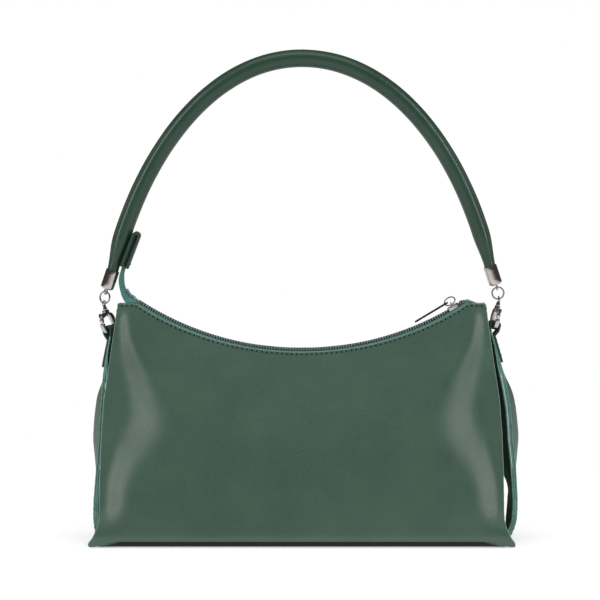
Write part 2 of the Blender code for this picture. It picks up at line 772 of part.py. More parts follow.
def make_pull(ring_centre, dark):
    """The flat pull, which hangs on the ring's left side and lies just above the zip."""
    down = Vector((-math.cos(PULL_DIP_ANGLE), 0.0, -math.sin(PULL_DIP_ANGLE)))
    along = ring_centre.to_3x3() @ Vector((-1.0, 0.0, 0.0))
    start = ring_centre.translation + along * PULL_RING_RADIUS
    side = Vector((0, 1, 0))
    up = down.cross(side)
    place = frame_matrix(start, down, side, up)
    back = PULL_HOLE_LENGTH / 2 + PULL_END_MARGIN
    half = PULL_WIDTH / 2
    round_end = half * 0.55
    outline = [(-back, -half * 0.7), (-back, half * 0.7), (-back + round_end / 2, half)]
    outline += arc_points((PULL_LENGTH - back - round_end, half - round_end), round_end, math.pi / 2, 0.0, 4)
    outline += arc_points((PULL_LENGTH - back - round_end, round_end - half), round_end, 0.0, -math.pi / 2, 4)
    outline += [(-back + round_end / 2, -half)]
    low = -PULL_THICKNESS / 2
    pull = slab("pull_plate", outline, low, -low, dark, place)
    hole = round_rectangle(PULL_HOLE_LENGTH / 2, PULL_HOLE_WIDTH / 2, PULL_HOLE_LENGTH * 0.3)
    cutter = slab("pull_plate_hole", hole, low - CUT_OVERRUN, -low + CUT_OVERRUN, dark, place)
    return combine(pull, cutter, 'DIFFERENCE')


def make_stop(metal):
    """The bent metal stop past the slider, at the zip's right end."""
    angle = ZIP_HALF_ANGLE - STOP_LENGTH / DIP_RADIUS
    place = zip_frame(angle, 0.0)
    low = TEETH_TOP + FINE_GAP
    outline = round_rectangle(STOP_LENGTH / 2, TEETH_OUTER, STOP_WALL)
    return slab("zip_top_stop", outline, low, low + STOP_WALL, metal, place)


# The zip's tail and tab.

def make_tail(tape, leather):
    """The zip's free tail, folded along its middle, and the leather tab over its end."""
    tangent = zip_frame(-ZIP_HALF_ANGLE, 0.0).col[0].to_3d()
    start = zip_point(-ZIP_HALF_ANGLE, 0.0, TAPE_HEIGHT) - tangent * SEAT_GAP
    bends = [
        start + Vector((-TAIL_BULGE * bulge, 0.0, TAIL_RISE * rise))
        for bulge, rise in TAIL_ROUTE_SHARES]
    route = smooth_route(bends, TAIL_STATIONS)
    rows = []
    section = (-1.0, -0.6, -0.2, 0.2, 0.6, 1.0)
    for index, point in enumerate(route):
        ahead = route[min(index + 1, len(route) - 1)] - route[max(index - 1, 0)]
        ahead.normalize()
        outward = Vector((-ahead.z, 0.0, ahead.x))
        depth = TAIL_FOLD_DEPTH * smooth_step(index / len(route) * 2.5)
        tuck = mix(1.0, 0.75, index / (len(route) - 1))
        row = []
        for share in section:
            place = point + outward * (depth * (0.5 - abs(share)))
            place.y = share * TAIL_HALF_WIDTH * tuck
            row.append(place)
        rows.append(row)
    tail = sheet("zip_tail", rows, TAPE_THICKNESS, tape)

    top = route[-1]
    rise = (route[-1] - route[-3]).normalized()
    outward = Vector((-rise.z, 0.0, rise.x))
    spread = TAIL_FOLD_DEPTH / 2 + TAPE_THICKNESS + SEAT_GAP + TAB_LEATHER / 2
    crown = top + rise * (SEAT_GAP + TAPE_THICKNESS)
    rings = []
    stations = [(spread, -TAB_LENGTH), (spread, -TAB_LENGTH / 2), (spread, 0.0)]
    stations += [(across, up) for across, up in arc_points((0.0, 0.0), spread, 0.0, math.pi, 7)][1:-1]
    stations += [(-spread, 0.0), (-spread, -TAB_LENGTH / 2), (-spread, -TAB_LENGTH)]
    for index, (across, up) in enumerate(stations):
        before = stations[max(index - 1, 0)]
        after = stations[min(index + 1, len(stations) - 1)]
        run = Vector((after[0] - before[0], after[1] - before[1])).normalized()
        side = Vector((run.y, -run.x))
        ring = []
        for lateral, offset in ((-1, 0.5), (1, 0.5), (1, -0.5), (-1, -0.5)):
            flat = Vector((across, up)) + side * (offset * TAB_LEATHER)
            place = crown + outward * flat.x + rise * flat.y
            place.y = lateral * TAB_HALF_WIDTH
            ring.append(place)
        rings.append(ring)
    tab = loft("zip_end_tab", rings, leather)
    return [tail, tab]


# Handle hardware: three lines run across the bag, through the hooks, the rings' feet and
# the rings' crowns, all with the same slope, so both ends swing together.

class Suspension:
    """Places and directions of one side's clasp, ring and ferrule."""

    def __init__(self, side, hook, foot, crown, clasp_yaw, ring_yaw):
        self.side = side
        self.hook = hook
        self.foot = foot
        self.crown = crown
        self.up = (foot - hook).normalized()
        turn = Matrix.Rotation(clasp_yaw, 3, self.up)
        plain = Vector((self.up.z, 0.0, -self.up.x))
        self.through = turn @ plain
        self.across = self.through.cross(self.up)
        self.rise = (crown - foot).normalized()
        self.ring_axis = Matrix.Rotation(ring_yaw, 3, self.rise) @ Vector((0, 1, 0))
        self.wire_way = self.ring_axis.cross(self.rise)

    def clasp_frame(self):
        return frame_matrix(self.hook, self.across, self.through, self.up)

    def ring_frame(self):
        centre = (self.foot + self.crown) / 2
        return frame_matrix(centre, self.wire_way, self.rise, self.wire_way.cross(self.rise))

    def eye_frame(self, place):
        """A frame whose Z runs along the ring's wire, through an eye."""
        return frame_matrix(place, self.ring_axis, self.rise, self.ring_axis.cross(self.rise))


def on_line(start, across):
    """The point of a sloping line through start at another place across the bag."""
    return Vector((across, 0.0, start.z + PIVOT_LINE_SLOPE * (across - start.x)))


def lean_to_line(base, reach, line_point, outward):
    """The point at a reach above base, leaning to one side, that lies on a sloping line."""
    lean = 0.0
    for _ in range(24):
        place = base + Vector((outward * reach * math.sin(lean), 0.0, reach * math.cos(lean)))
        wanted = on_line(line_point, place.x).z
        lean = math.acos(min(1.0, (wanted - base.z) / reach))
    return base + Vector((outward * reach * math.sin(lean), 0.0, reach * math.cos(lean)))


def make_suspensions():
    hook = Vector((RIGHT_HOOK_ACROSS, 0.0, RIGHT_HOOK_HEIGHT))
    foot = hook + Vector((math.sin(RIGHT_CLASP_LEAN), 0.0, math.cos(RIGHT_CLASP_LEAN))) * CLASP_REACH
    inward = foot.x - RIGHT_FERRULE_ACROSS
    span = 2 * RING_RADIUS
    crown = foot + Vector((-inward, 0.0, math.sqrt(span ** 2 - inward ** 2)))
    right = Suspension("right", hook, foot, crown, RIGHT_CLASP_YAW, RIGHT_RING_YAW)
    left_hook = on_line(hook, -LEFT_HOOK_ACROSS)
    left_foot = lean_to_line(left_hook, CLASP_REACH, foot, -1.0)
    left_crown = lean_to_line(left_foot, span, crown, 1.0)
    left = Suspension("left", left_hook, left_foot, left_crown, LEFT_CLASP_YAW, LEFT_RING_YAW)
    return right, left


HOLE_SHOULDER_HEIGHT = CLASP_HOLE_TOP - CLASP_HOLE_TOP_RADIUS


def clasp_outline():
    """The claw seen flat, open on its +X side between the tip and the gate's pivot."""
    tip_angle = math.asin(CLASP_TIP_HEIGHT / CLASP_HALF_WIDTH)
    inner_tip = math.asin(CLASP_TIP_HEIGHT / CLASP_HOLE_RADIUS)
    outer = arc_points((0.0, 0.0), CLASP_HALF_WIDTH, tip_angle, -math.pi, 14)
    spine = [(-CLASP_HALF_WIDTH * 0.94, CLASP_SHOULDER_HEIGHT * 0.5),
             (-CLASP_HALF_WIDTH * 0.7, CLASP_SHOULDER_HEIGHT),
             (-CLASP_COLLAR_RADIUS, CLASP_SHOULDER_HEIGHT + CLASP_COLLAR_RADIUS / 2),
             (-CLASP_COLLAR_RADIUS, CLASP_TOP)]
    neck = [(CLASP_COLLAR_RADIUS, CLASP_TOP),
            (CLASP_COLLAR_RADIUS, CLASP_SHOULDER_HEIGHT + CLASP_COLLAR_RADIUS / 2)]
    boss = arc_points((PIVOT_ACROSS, PIVOT_HEIGHT), PIVOT_BOSS_RADIUS, math.pi * 0.42, -math.pi * 0.62, 7)
    crown = arc_points((0.0, HOLE_SHOULDER_HEIGHT), CLASP_HOLE_TOP_RADIUS, math.pi * 0.15, math.pi * 0.9, 6)
    hole = arc_points((0.0, 0.0), CLASP_HOLE_RADIUS, math.pi, 2 * math.pi + inner_tip, 13)
    return outer + spine + neck + boss + crown + hole


def cylinder_between(name, radius, start, end, finish, matrix, steps=12):
    """A plain rod along its frame's Z axis."""
    return turned(name, [(0.0, end), (radius, end), (radius, start), (0.0, start)], steps, finish, matrix)


def make_clasp(side, metal):
    frame = side.clasp_frame()
    thick = CLASP_HALF_THICKNESS
    claw = slab(side.side + "_clasp", clasp_outline(), -thick, thick, metal, frame, along="Y")
    bevel = claw.modifiers.new("rounded edges", 'BEVEL')
    bevel.width = CLASP_EDGE_ROUND
    bevel.segments = 1
    bevel.limit_method = 'ANGLE'
    bevel.angle_limit = math.radians(55)
    bore = cylinder_between(
        side.side + "_post_bore", SWIVEL_POST_RADIUS + FINE_GAP, CLASP_HOLE_TOP - CUT_OVERRUN,
        CLASP_TOP + CUT_OVERRUN, metal, frame)
    combine(claw, bore, 'DIFFERENCE')
    boss = Matrix.Translation((PIVOT_ACROSS, 0.0, PIVOT_HEIGHT)) @ Matrix.Rotation(-math.pi / 2, 4, 'X')
    across_pivot = frame @ boss
    slot_half = GATE_LUG_HALF + FINE_GAP
    slot_radius = PIVOT_BOSS_RADIUS + SEAT_GAP
    slot = cylinder_between(
        side.side + "_gate_slot", slot_radius, -slot_half, slot_half, metal, across_pivot, steps=16)
    combine(claw, slot, 'DIFFERENCE')
    pin_hole = cylinder_between(
        side.side + "_pin_hole", PIN_RADIUS + FINE_GAP, -thick - CUT_OVERRUN, thick + CUT_OVERRUN,
        metal, across_pivot)
    combine(claw, pin_hole, 'DIFFERENCE')
    pin = cylinder_between(side.side + "_gate_pin", PIN_RADIUS, -thick, thick, metal, across_pivot)
    return claw, pin, make_gate(side, frame, across_pivot, metal), make_spring(side, frame, metal)


def make_gate(side, frame, across_pivot, metal):
    """The sprung gate: a blade that closes the claw, on a lug between its cheeks."""
    tip = (
        CLASP_HALF_WIDTH - GATE_TIP_RADIUS - CLASP_EDGE_ROUND,
        CLASP_TIP_HEIGHT + GATE_TIP_RADIUS + SEAT_GAP)
    lug = (PIVOT_ACROSS, PIVOT_HEIGHT)
    run = Vector((tip[0] - lug[0], tip[1] - lug[1]))
    heading = math.atan2(run.y, run.x)
    outline = arc_points(tip, GATE_TIP_RADIUS, heading - math.pi / 2, heading + math.pi / 2, 5)
    outline += arc_points(lug, GATE_LUG_RADIUS, heading + math.pi / 2, heading + math.pi * 1.5, 9)
    gate = slab(side.side + "_clasp_gate", outline, -GATE_LUG_HALF, GATE_LUG_HALF, metal, frame, along="Y")
    start = Vector(lug) + run.normalized() * (PIVOT_BOSS_RADIUS + SEAT_GAP)
    aside = Vector((-run.y, run.x)).normalized()
    blade = [tuple(start + aside * GATE_TIP_RADIUS), tuple(start - aside * GATE_TIP_RADIUS)]
    blade += arc_points(tip, GATE_TIP_RADIUS, heading - math.pi / 2, heading + math.pi / 2, 5)
    thumb = Vector(tip).lerp(start, 0.5) + aside * (GATE_TIP_RADIUS + GATE_THUMB_REACH)
    blade += [tuple(thumb)]
    width = slab(side.side + "_gate_blade", blade, -GATE_BLADE_HALF, GATE_BLADE_HALF, metal, frame, along="Y")
    combine(gate, width, 'UNION')
    reach = CLASP_HALF_THICKNESS + CUT_OVERRUN
    bore = PIN_RADIUS + FINE_GAP
    hole = cylinder_between(side.side + "_gate_bore", bore, -reach, reach, metal, across_pivot)
    return combine(gate, hole, 'DIFFERENCE')


def make_spring(side, frame, metal):
    """The gate's leaf spring, bent round the back of its lug inside the slot."""
    inner = GATE_LUG_RADIUS + FINE_GAP
    outer = inner + SPRING_THICKNESS
    centre = (PIVOT_ACROSS, PIVOT_HEIGHT)
    outline = arc_points(centre, outer, math.radians(10), math.radians(150), 8)
    outline += arc_points(centre, inner, math.radians(150), math.radians(10), 8)
    half = SPRING_HALF_WIDTH
    return slab(side.side + "_gate_spring", outline, -half, half, metal, frame, along="Y")


def make_swivel(side, metal):
    """The swivel: an eye on a headed post that turns in the clasp's neck."""
    frame = side.clasp_frame()
    head_top = CLASP_HOLE_TOP - SWIVEL_HEAD_DROP
    head_foot = head_top - SWIVEL_HEAD_HEIGHT
    eye_foot = CLASP_REACH - EYE_RADIUS
    flange = CLASP_TOP + SEAT_GAP
    profile = [
        (0.0, eye_foot), (SWIVEL_POST_RADIUS * 1.1, eye_foot), (SWIVEL_POST_RADIUS * 1.7, flange + FINE_GAP),
        (SWIVEL_POST_RADIUS * 1.7, flange), (SWIVEL_POST_RADIUS, flange), (SWIVEL_POST_RADIUS, head_top),
        (SWIVEL_HEAD_RADIUS, head_top), (SWIVEL_HEAD_RADIUS * 0.8, head_foot), (0.0, head_foot),
    ]
    swivel = turned(side.side + "_swivel_eye", profile, 14, metal, frame)
    eye = hoop(side.side + "_swivel_loop", EYE_RADIUS, EYE_WIRE, metal, side.eye_frame(side.foot), 16)
    return combine(swivel, eye, 'UNION')


def leg_direction(sign):
    """The way a handle leg runs up from its eye, leaning inward."""
    return Vector((-sign * math.sin(HANDLE_LEAN), 0.0, math.cos(HANDLE_LEAN)))


def make_ferrule(side, metal):
    """A turned metal cup on the handle's end, with an eye below it."""
    sign = 1.0 if side.side == "right" else -1.0
    up = leg_direction(sign)
    across = Vector((up.z, 0.0, -up.x))
    frame = frame_matrix(side.crown, across, up.cross(across), up)
    foot = EYE_STANDOFF
    mouth = foot + FERRULE_LENGTH
    bore_foot = mouth - FERRULE_BORE_DEPTH
    bore = HANDLE_END_RADIUS + FINE_GAP
    profile = [
        (0.0, bore_foot), (bore, bore_foot), (bore, mouth), (FERRULE_RADIUS - FINE_GAP, mouth),
        (FERRULE_RADIUS, mouth - FINE_GAP), (FERRULE_RADIUS, foot + FERRULE_CHAMFER),
        (FERRULE_RADIUS - FERRULE_CHAMFER, foot), (0.0, foot),
    ]
    ferrule = turned(side.side + "_ferrule", profile, 16, metal, frame)
    eye = hoop(side.side + "_ferrule_loop", EYE_RADIUS, EYE_WIRE * 1.1, metal, side.eye_frame(side.crown), 16)
    return combine(ferrule, eye, 'UNION'), side.crown + up * (bore_foot + SEAT_GAP)


def leg_curve(end, sign, steps):
    """Points up one leg, from its end in the ferrule to the middle of the crown."""
    turn = end + leg_direction(sign) * (FERRULE_BORE_DEPTH - SEAT_GAP)
    pull = Vector((-sign * math.sin(HANDLE_START_LEAN), 0.0, math.cos(HANDLE_START_LEAN)))
    first = turn + pull * HANDLE_LEG_PULL
    second = Vector((sign * HANDLE_SHOULDER, 0.0, HANDLE_CROWN_HEIGHT))
    crown = Vector((0.0, 0.0, HANDLE_CROWN_HEIGHT))
    points = [end]
    for step in range(steps + 1):
        t = step / steps
        left = 1 - t
        points.append(
            turn * left ** 3 + first * (3 * t * left ** 2) + second * (3 * t ** 2 * left) + crown * t ** 3)
    return points


def make_handle(right_end, left_end, leather, core):
    """A leather tube round a soft core, from ferrule to ferrule."""
    fine = leg_curve(right_end, 1.0, HANDLE_CURVE_STEPS)
    fine += list(reversed(leg_curve(left_end, -1.0, HANDLE_CURVE_STEPS)))[1:]
    route = [right_end, *even_points(fine[1:-1], HANDLE_RINGS), left_end]
    count = len(route)
    lengths = [0.0]
    for start, end in zip(route, route[1:]):
        lengths.append(lengths[-1] + (end - start).length)

    def ring(index, wall, sides):
        point = route[index]
        run = route[min(index + 1, count - 1)] - route[max(index - 1, 0)]
        run.normalize()
        outward = Vector((run.z, 0.0, -run.x))
        near_end = min(lengths[index], lengths[-1] - lengths[index])
        past = (near_end - FERRULE_BORE_DEPTH) / HANDLE_TAPER
        radius = mix(HANDLE_END_RADIUS, HANDLE_RADIUS, smooth_step(past)) - wall
        points = []
        for step in range(sides):
            angle = 2 * math.pi * step / sides
            points.append(point + (outward * math.cos(angle) + Vector((0, 1, 0)) * math.sin(angle)) * radius)
        return points

    skin = [ring(index, 0.0, HANDLE_SIDES) for index in range(count)]
    filling = [ring(index, HANDLE_WALL + SEAT_GAP, HANDLE_SIDES // 2) for index in range(count)]
    cover = sheet("handle_cover", skin, HANDLE_WALL, leather, closed=True)
    inside = loft("handle_core", filling, core)
    return cover, inside


# Side straps.

# Right strap, from foot to pinch: how far it has bowed out (1 is the bow's reach).
BOW_RISE_SHARES = ((0.08, 0.55), (0.195, 0.85), (0.363, 1.0), (0.49, 0.97))
NECK_EASE_SHARES = ((0.616, 0.91), (0.707, 0.78), (0.805, 0.52), (0.882, 0.295))
TWIST_SHARES = (
    (0.0, 0.0), (0.04, 0.1), (0.11, 0.6), (0.2, 0.5), (0.36, -0.28),
    (0.49, -1.0), (0.7, -1.0), (0.8, -0.5), (1.0, 0.0))
STRAP_FINE_STEPS = 90
STRAP_FOOT_REACH = BASE_PANEL_HALF_LENGTH + SEAT_GAP + STRAP_THICKNESS / 2


class Strap:
    """A strap from the base seam, bowed and twisted, folded over its clasp's hook and back."""

    def __init__(self, side, bow, clasp_yaw):
        self.sign = 1.0 if side.side == "right" else -1.0
        self.clasp_yaw = clasp_yaw
        self.frame = side.clasp_frame()
        self.pinch = -CLASP_HALF_WIDTH - LOOP_PINCH_DROP
        self.ply = (LOOP_LEATHER + FINE_GAP) / 2
        top = self.loop_place(-self.sign * self.ply, self.pinch)
        route = [Vector((self.sign * STRAP_FOOT_REACH, 0.0, STRAP_FOOT_HEIGHT))]
        for rise, bulge in BOW_RISE_SHARES:
            across = self.sign * mix(STRAP_FOOT_REACH, bow, bulge)
            route.append(Vector((across, 0.0, mix(STRAP_FOOT_HEIGHT, top.z, rise))))
        for rise, ease in NECK_EASE_SHARES:
            across = mix(top.x, self.sign * bow, ease)
            route.append(Vector((across, 0.0, mix(STRAP_FOOT_HEIGHT, top.z, rise))))
        route.append(top)
        self.middle = smooth_route(route, STRAP_FINE_STEPS + 1)

    def loop_place(self, through, up):
        return self.frame @ Vector((0.0, through, up))

    def station(self, share):
        """Place, width direction, half width and thickness at a share of the way up."""
        index = min(max(round(share * STRAP_FINE_STEPS), 0), STRAP_FINE_STEPS)
        before = self.middle[max(index - 1, 0)]
        after = self.middle[min(index + 1, STRAP_FINE_STEPS)]
        run = (after - before).normalized()
        twist = self.sign * STRAP_TWIST * read_shares(TWIST_SHARES, share)
        twist = mix(twist, self.clasp_yaw, smooth_step((share - 0.72) / 0.28))
        width_way = Matrix.Rotation(twist, 3, run) @ Vector((0.0, -1.0, 0.0))
        half_width = mix(STRAP_HALF_WIDTH, LOOP_HALF_WIDTH, smooth_step((share - 0.5) / 0.5))
        thickness = mix(STRAP_THICKNESS, LOOP_LEATHER, smooth_step((share - 0.65) / 0.35))
        return self.middle[index], run, width_way, half_width, thickness

    def loop_stations(self):
        """The loop over the hook, as places in the clasp's frame, from the inner leg's pinch."""
        leg = CLASP_HALF_THICKNESS + LOOP_SIDE_GAP + LOOP_LEATHER / 2
        top = LOOP_FLOOR_LIFT - CLASP_HOLE_RADIUS + LOOP_LEATHER / 2
        turn = LOOP_LEATHER * 1.25
        half = [(leg * 0.55, self.pinch + LOOP_PINCH_DROP * 0.45), (leg * 0.9, -CLASP_HALF_WIDTH * 1.04)]
        half += arc_points((leg - turn, top - turn), turn, 0.0, math.pi / 2, 5)
        route = [(-self.sign * through, up) for through, up in half]
        route += [(self.sign * through, up) for through, up in reversed(half)]
        return [self.loop_place(through, up) for through, up in route]

    def rings(self):
        made = []
        for index in range(STRAP_STATIONS + 1):
            place, run, width_way, half_width, thickness = self.station(index / STRAP_STATIONS)
            made.append(self.ring(place, run, width_way, half_width, thickness))
        loop = self.loop_stations()
        outer_end = self.loop_place(self.sign * self.ply, self.pinch)
        ends = [self.middle[-1], *loop, outer_end]
        width_way = self.frame.to_3x3() @ Vector((1.0, 0.0, 0.0))
        for before, place, after in zip(ends, loop, ends[2:]):
            run = (after - before).normalized()
            made.append(self.ring(place, run, width_way, LOOP_HALF_WIDTH, LOOP_LEATHER))
        length = sum((end - start).length for start, end in zip(self.middle, self.middle[1:]))
        tail_steps = 5
        for step in range(tail_steps + 1):
            share = 1.0 - LOOP_TAIL_LENGTH / length * step / tail_steps
            place, run, width_way, half_width, thickness = self.station(share)
            outward = run.cross(width_way) * self.sign
            shift = outward * (thickness / 2 + FINE_GAP + LOOP_LEATHER / 2)
            made.append(self.ring(place + shift, -run, width_way, half_width, LOOP_LEATHER))
        return made

    @staticmethod
    def ring(place, run, width_way, half_width, thickness):
        normal = run.cross(width_way).normalized()
        corners = ((-1, -1), (1, -1), (1, 1), (-1, 1))
        return [place + width_way * (half_width * across) + normal * (thickness / 2 * level)
                for across, level in corners]


def main():
    clear_scene()
    leather = material("smooth green leather", LEATHER_GREEN, 0.32)
    strap_leather = material("green strap leather", EDGE_TEAL, 0.5)
    tape = material("zip tape", EDGE_TEAL, 0.8)
    teeth = material("zip coil", TEETH_GREEN, 0.45)
    nickel = material("nickel", NICKEL, 0.22, 1.0)
    dark_nickel = material("dark nickel", DARK_NICKEL, 0.3, 1.0)
    cloth = material("lining cloth", LINING_GREEN, 0.85)
    board = material("base board", BOARD_GREY, 0.9)
    core = material("handle core", CORE_CREAM, 0.9)

    make_panels(leather)
    make_gussets(leather)
    make_base(leather, board)
    make_lining(cloth)
    make_slip_pocket(cloth)
    make_zip(tape, teeth)
    make_stop(nickel)
    make_tail(tape, leather)

    slider_pivot = pivot("slider_pivot", (0.0, 0.0, DIP_CENTRE_HEIGHT))
    slider, pull_ring, pull, ring_centre = make_slider(nickel, dark_nickel)
    ring_pivot = pivot("pull_ring_pivot", zip_point(SLIDER_ANGLE, 0.0, BRIDGE_HOLE_LIFT), slider_pivot)
    pull_pivot = pivot("pull_plate_pivot", ring_centre.translation, ring_pivot)
    hang(slider, slider_pivot)
    hang(pull_ring, ring_pivot)
    hang(pull, pull_pivot)

    right, left = make_suspensions()
    for side, bow, yaw in ((right, RIGHT_STRAP_BOW, RIGHT_CLASP_YAW), (left, LEFT_STRAP_BOW, LEFT_CLASP_YAW)):
        strap = Strap(side, bow, yaw)
        loft(side.side + "_side_strap", strap.rings(), strap_leather)

    right_tilt = pivot("right_clasp_pivot", right.hook)
    right_swing = pivot("right_ring_pivot", right.foot, right_tilt)
    handle_swing = pivot("handle_pivot", right.crown, right_swing)
    left_swing = pivot("left_ring_pivot", left.crown, handle_swing)
    left_tilt = pivot("left_clasp_pivot", left.foot, left_swing)

    handle_ends = []
    for side, tilt, swing in ((right, right_tilt, right_swing), (left, left_tilt, left_swing)):
        turn = pivot(side.side + "_clasp_turn", side.hook, tilt)
        gate_pivot = pivot(
            side.side + "_gate_pivot", side.clasp_frame() @ Vector((PIVOT_ACROSS, 0.0, PIVOT_HEIGHT)), turn)
        claw, pin, gate, spring = make_clasp(side, nickel)
        for piece in (claw, pin, spring):
            hang(piece, turn)
        hang(gate, gate_pivot)
        hang(make_swivel(side, nickel), tilt)
        hang(hoop(side.side + "_ring", RING_RADIUS, RING_WIRE, nickel, side.ring_frame()), swing)
        ferrule, end = make_ferrule(side, nickel)
        hang(ferrule, handle_swing)
        handle_ends.append(end)

    cover, inside = make_handle(*handle_ends, leather, core)
    hang(cover, handle_swing)
    hang(inside, handle_swing)


main()
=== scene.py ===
"""The looks of a soft leather baguette bag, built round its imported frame.

The bag stands on its base with its front facing -Y. Everything is in metres. Each operator
makes one group of pieces: leather body, lining, zip, pull, straps, handle and clasps.
"""
import json
import math
import random

import bmesh
import bpy
from bpy.props import FloatProperty, FloatVectorProperty, IntProperty, PointerProperty
from mathutils import Matrix, Vector, noise

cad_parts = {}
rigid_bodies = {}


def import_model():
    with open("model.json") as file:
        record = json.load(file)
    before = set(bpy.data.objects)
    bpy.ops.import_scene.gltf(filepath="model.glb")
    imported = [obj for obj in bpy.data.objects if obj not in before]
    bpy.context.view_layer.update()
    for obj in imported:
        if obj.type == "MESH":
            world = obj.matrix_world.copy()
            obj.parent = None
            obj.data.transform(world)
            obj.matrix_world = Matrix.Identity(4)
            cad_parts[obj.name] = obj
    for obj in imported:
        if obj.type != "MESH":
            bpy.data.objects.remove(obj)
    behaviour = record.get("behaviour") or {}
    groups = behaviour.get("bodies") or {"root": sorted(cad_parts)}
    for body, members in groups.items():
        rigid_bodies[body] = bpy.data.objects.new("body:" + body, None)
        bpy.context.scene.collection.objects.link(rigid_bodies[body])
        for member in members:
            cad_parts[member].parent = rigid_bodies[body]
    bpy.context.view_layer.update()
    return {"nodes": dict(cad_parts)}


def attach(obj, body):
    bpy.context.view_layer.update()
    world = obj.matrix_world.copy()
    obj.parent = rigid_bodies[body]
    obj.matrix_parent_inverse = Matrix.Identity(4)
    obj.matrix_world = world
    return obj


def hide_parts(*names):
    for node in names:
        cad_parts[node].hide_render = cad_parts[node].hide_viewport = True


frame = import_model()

bl_info = {
    "name": "Baguette bag",
    "version": (1, 0, 0),
    "blender": (4, 5, 0),
    "location": "View3D > Sidebar > Bag",
    "description": "Builds a soft leather baguette bag round its packed frame",
    "category": "Add Mesh",
}

MM = 0.001
SEAT_GAP = 0.3 * MM
FINE_GAP = 0.22 * MM
CUT_OVERRUN = 1.0 * MM

# Bag body.
BASE_DEPTH = 90 * MM
BASE_HALF_DEPTH = BASE_DEPTH / 2
BODY_HALF_LENGTH = 141 * MM
TOP_HALF_LENGTH = 129.5 * MM
CORNER_HEIGHT = 167.8 * MM
EAR_REACH = 10.0 * MM
EAR_HEIGHT = 22 * MM
EAR_TIP_HEIGHT = 4 * MM
EAR_TIP_ROUNDING = 0.35
PANEL_LEATHER = 1.8 * MM
PANEL_LEATHER_ACROSS = PANEL_LEATHER * 1.3
BASE_ROLL_RADIUS = 8 * MM
FOLD_SLOPE = 0.45
FOLD_MIDDLE_RISE = 0.54
FOLD_MIDDLE_BORDER = 0.9
FOLD_MIDDLE_WIDTH = 0.155
FOLD_END_BORDER = 0.985
FOLD_END_WIDTH = 0.08
FOLD_REACH = 0.22
FOLD_TOP_NARROWING = 0.42
FOLD_NARROW_FROM = 0.7
FOLD_NARROW_OVER = 0.25
FOLD_FOOT_FADE = 0.14
FOLD_TOP_FADE = 0.07
FOLD_DEPTH_SHARE = 1.12
FRONT_EDGE_RISE = 1.1 * MM
BASE_SEAM_LIFT = 4.3 * MM
BACK_EDGE_RISE = 3.2 * MM
TOP_HALF_DEPTH = 8.5 * MM
TOP_CORNER_HALF_DEPTH = 6.6 * MM
SIDE_EDGE_SHARES = (
    (0.0, 1.0), (0.3, 0.99), (0.47, 0.94), (0.6, 0.82), (0.75, 0.5), (0.9, 0.19), (1.0, 0.0))
DIP_RADIUS = 212 * MM
DIP_HALF_ANGLE = math.radians(33.4)
DIP_CENTRE_HEIGHT = CORNER_HEIGHT + DIP_RADIUS * math.cos(DIP_HALF_ANGLE)

# Gussets, base, board and lining.
GUSSET_LEATHER = 1.2 * MM
GUSSET_TOP_FOLD = 17 * MM
GUSSET_TOP_DROP = 9 * MM
GUSSET_INSET = 1.2 * MM
GUSSET_FOOT_REACH = 142.8 * MM
BASE_LEATHER = 2.0 * MM
BASE_PANEL_HALF_LENGTH = BODY_HALF_LENGTH + GUSSET_INSET
BOARD_THICKNESS = 1.6 * MM
LINING_THICKNESS = 0.7 * MM
LINING_DROP = 8 * MM
LINING_SAG = 0.6 * MM
POCKET_SAG = 0.5 * MM
LINING_END_MARGIN = 5 * MM
LINING_FOOT = BASE_LEATHER + BOARD_THICKNESS + 2 * SEAT_GAP + LINING_THICKNESS
POCKET_LENGTH = 130 * MM
POCKET_HEIGHT = 62 * MM
POCKET_FOOT = 38 * MM
POCKET_THICKNESS = 0.8 * MM

# Zip, slider and pull.
TAPE_THICKNESS = 0.5 * MM
TAPE_SEWN_DEPTH = 5 * MM
TAPE_HEIGHT = 1.8 * MM
TAPE_LIE = 1.1 * MM
TAPE_FLAT_HALF_WIDTH = 3.4 * MM
TAPE_SLIT_HALF = 0.8 * MM
TEETH_THICKNESS = 1.2 * MM
TEETH_OUTER = 2.5 * MM
ZIP_HALF_ANGLE = math.radians(33.2)
STOP_LENGTH = 2.6 * MM
STOP_WALL = 0.6 * MM
TEETH_TOP = TAPE_HEIGHT + FINE_GAP + TEETH_THICKNESS
TEETH_FOOT = TAPE_LIE + FINE_GAP
TEETH_RISE = TEETH_TOP - TEETH_FOOT
COIL_THREAD_SHARE = 0.66
COIL_THREAD_RADIUS = 0.16 * MM
COIL_THREAD_SINK = 0.13 * MM
COIL_THREAD_RIPPLE = 0.1 * MM
COIL_CORD_SHARE = 0.56
COIL_CORD_RISE_SHARE = 0.46
COIL_CORD_RADIUS = 0.42 * MM
SLIDER_ANGLE = math.radians(30.7)
SLIDER_LENGTH = 8.6 * MM
SLIDER_HALF_WIDTH = 3.3 * MM
SLIDER_PLATE = 0.7 * MM
SLIDER_FLANGE = 0.5 * MM
SLIDER_POST_HALF = 0.25 * MM
BRIDGE_WIRE_RADIUS = 0.5 * MM
BRIDGE_HALF_SPAN = 1.6 * MM
PULL_RING_RADIUS = 3.95 * MM
PULL_RING_WIRE = 0.5 * MM
PULL_RING_TILT = math.radians(52)
PULL_LENGTH = 27 * MM
PULL_WIDTH = 7.4 * MM
PULL_THICKNESS = 0.9 * MM
PULL_HOLE_LENGTH = 2.2 * MM
PULL_HOLE_WIDTH = 4.2 * MM
PULL_END_MARGIN = 1.3 * MM
PULL_DIP_ANGLE = math.radians(31)
SLIDER_ROOF = TEETH_TOP + SEAT_GAP
SLIDER_TOP = SLIDER_ROOF + SLIDER_PLATE
SLIDER_FLOOR = TAPE_LIE - TAPE_THICKNESS - SEAT_GAP
BRIDGE_HOLE_LIFT = SLIDER_TOP + SEAT_GAP + PULL_RING_WIRE

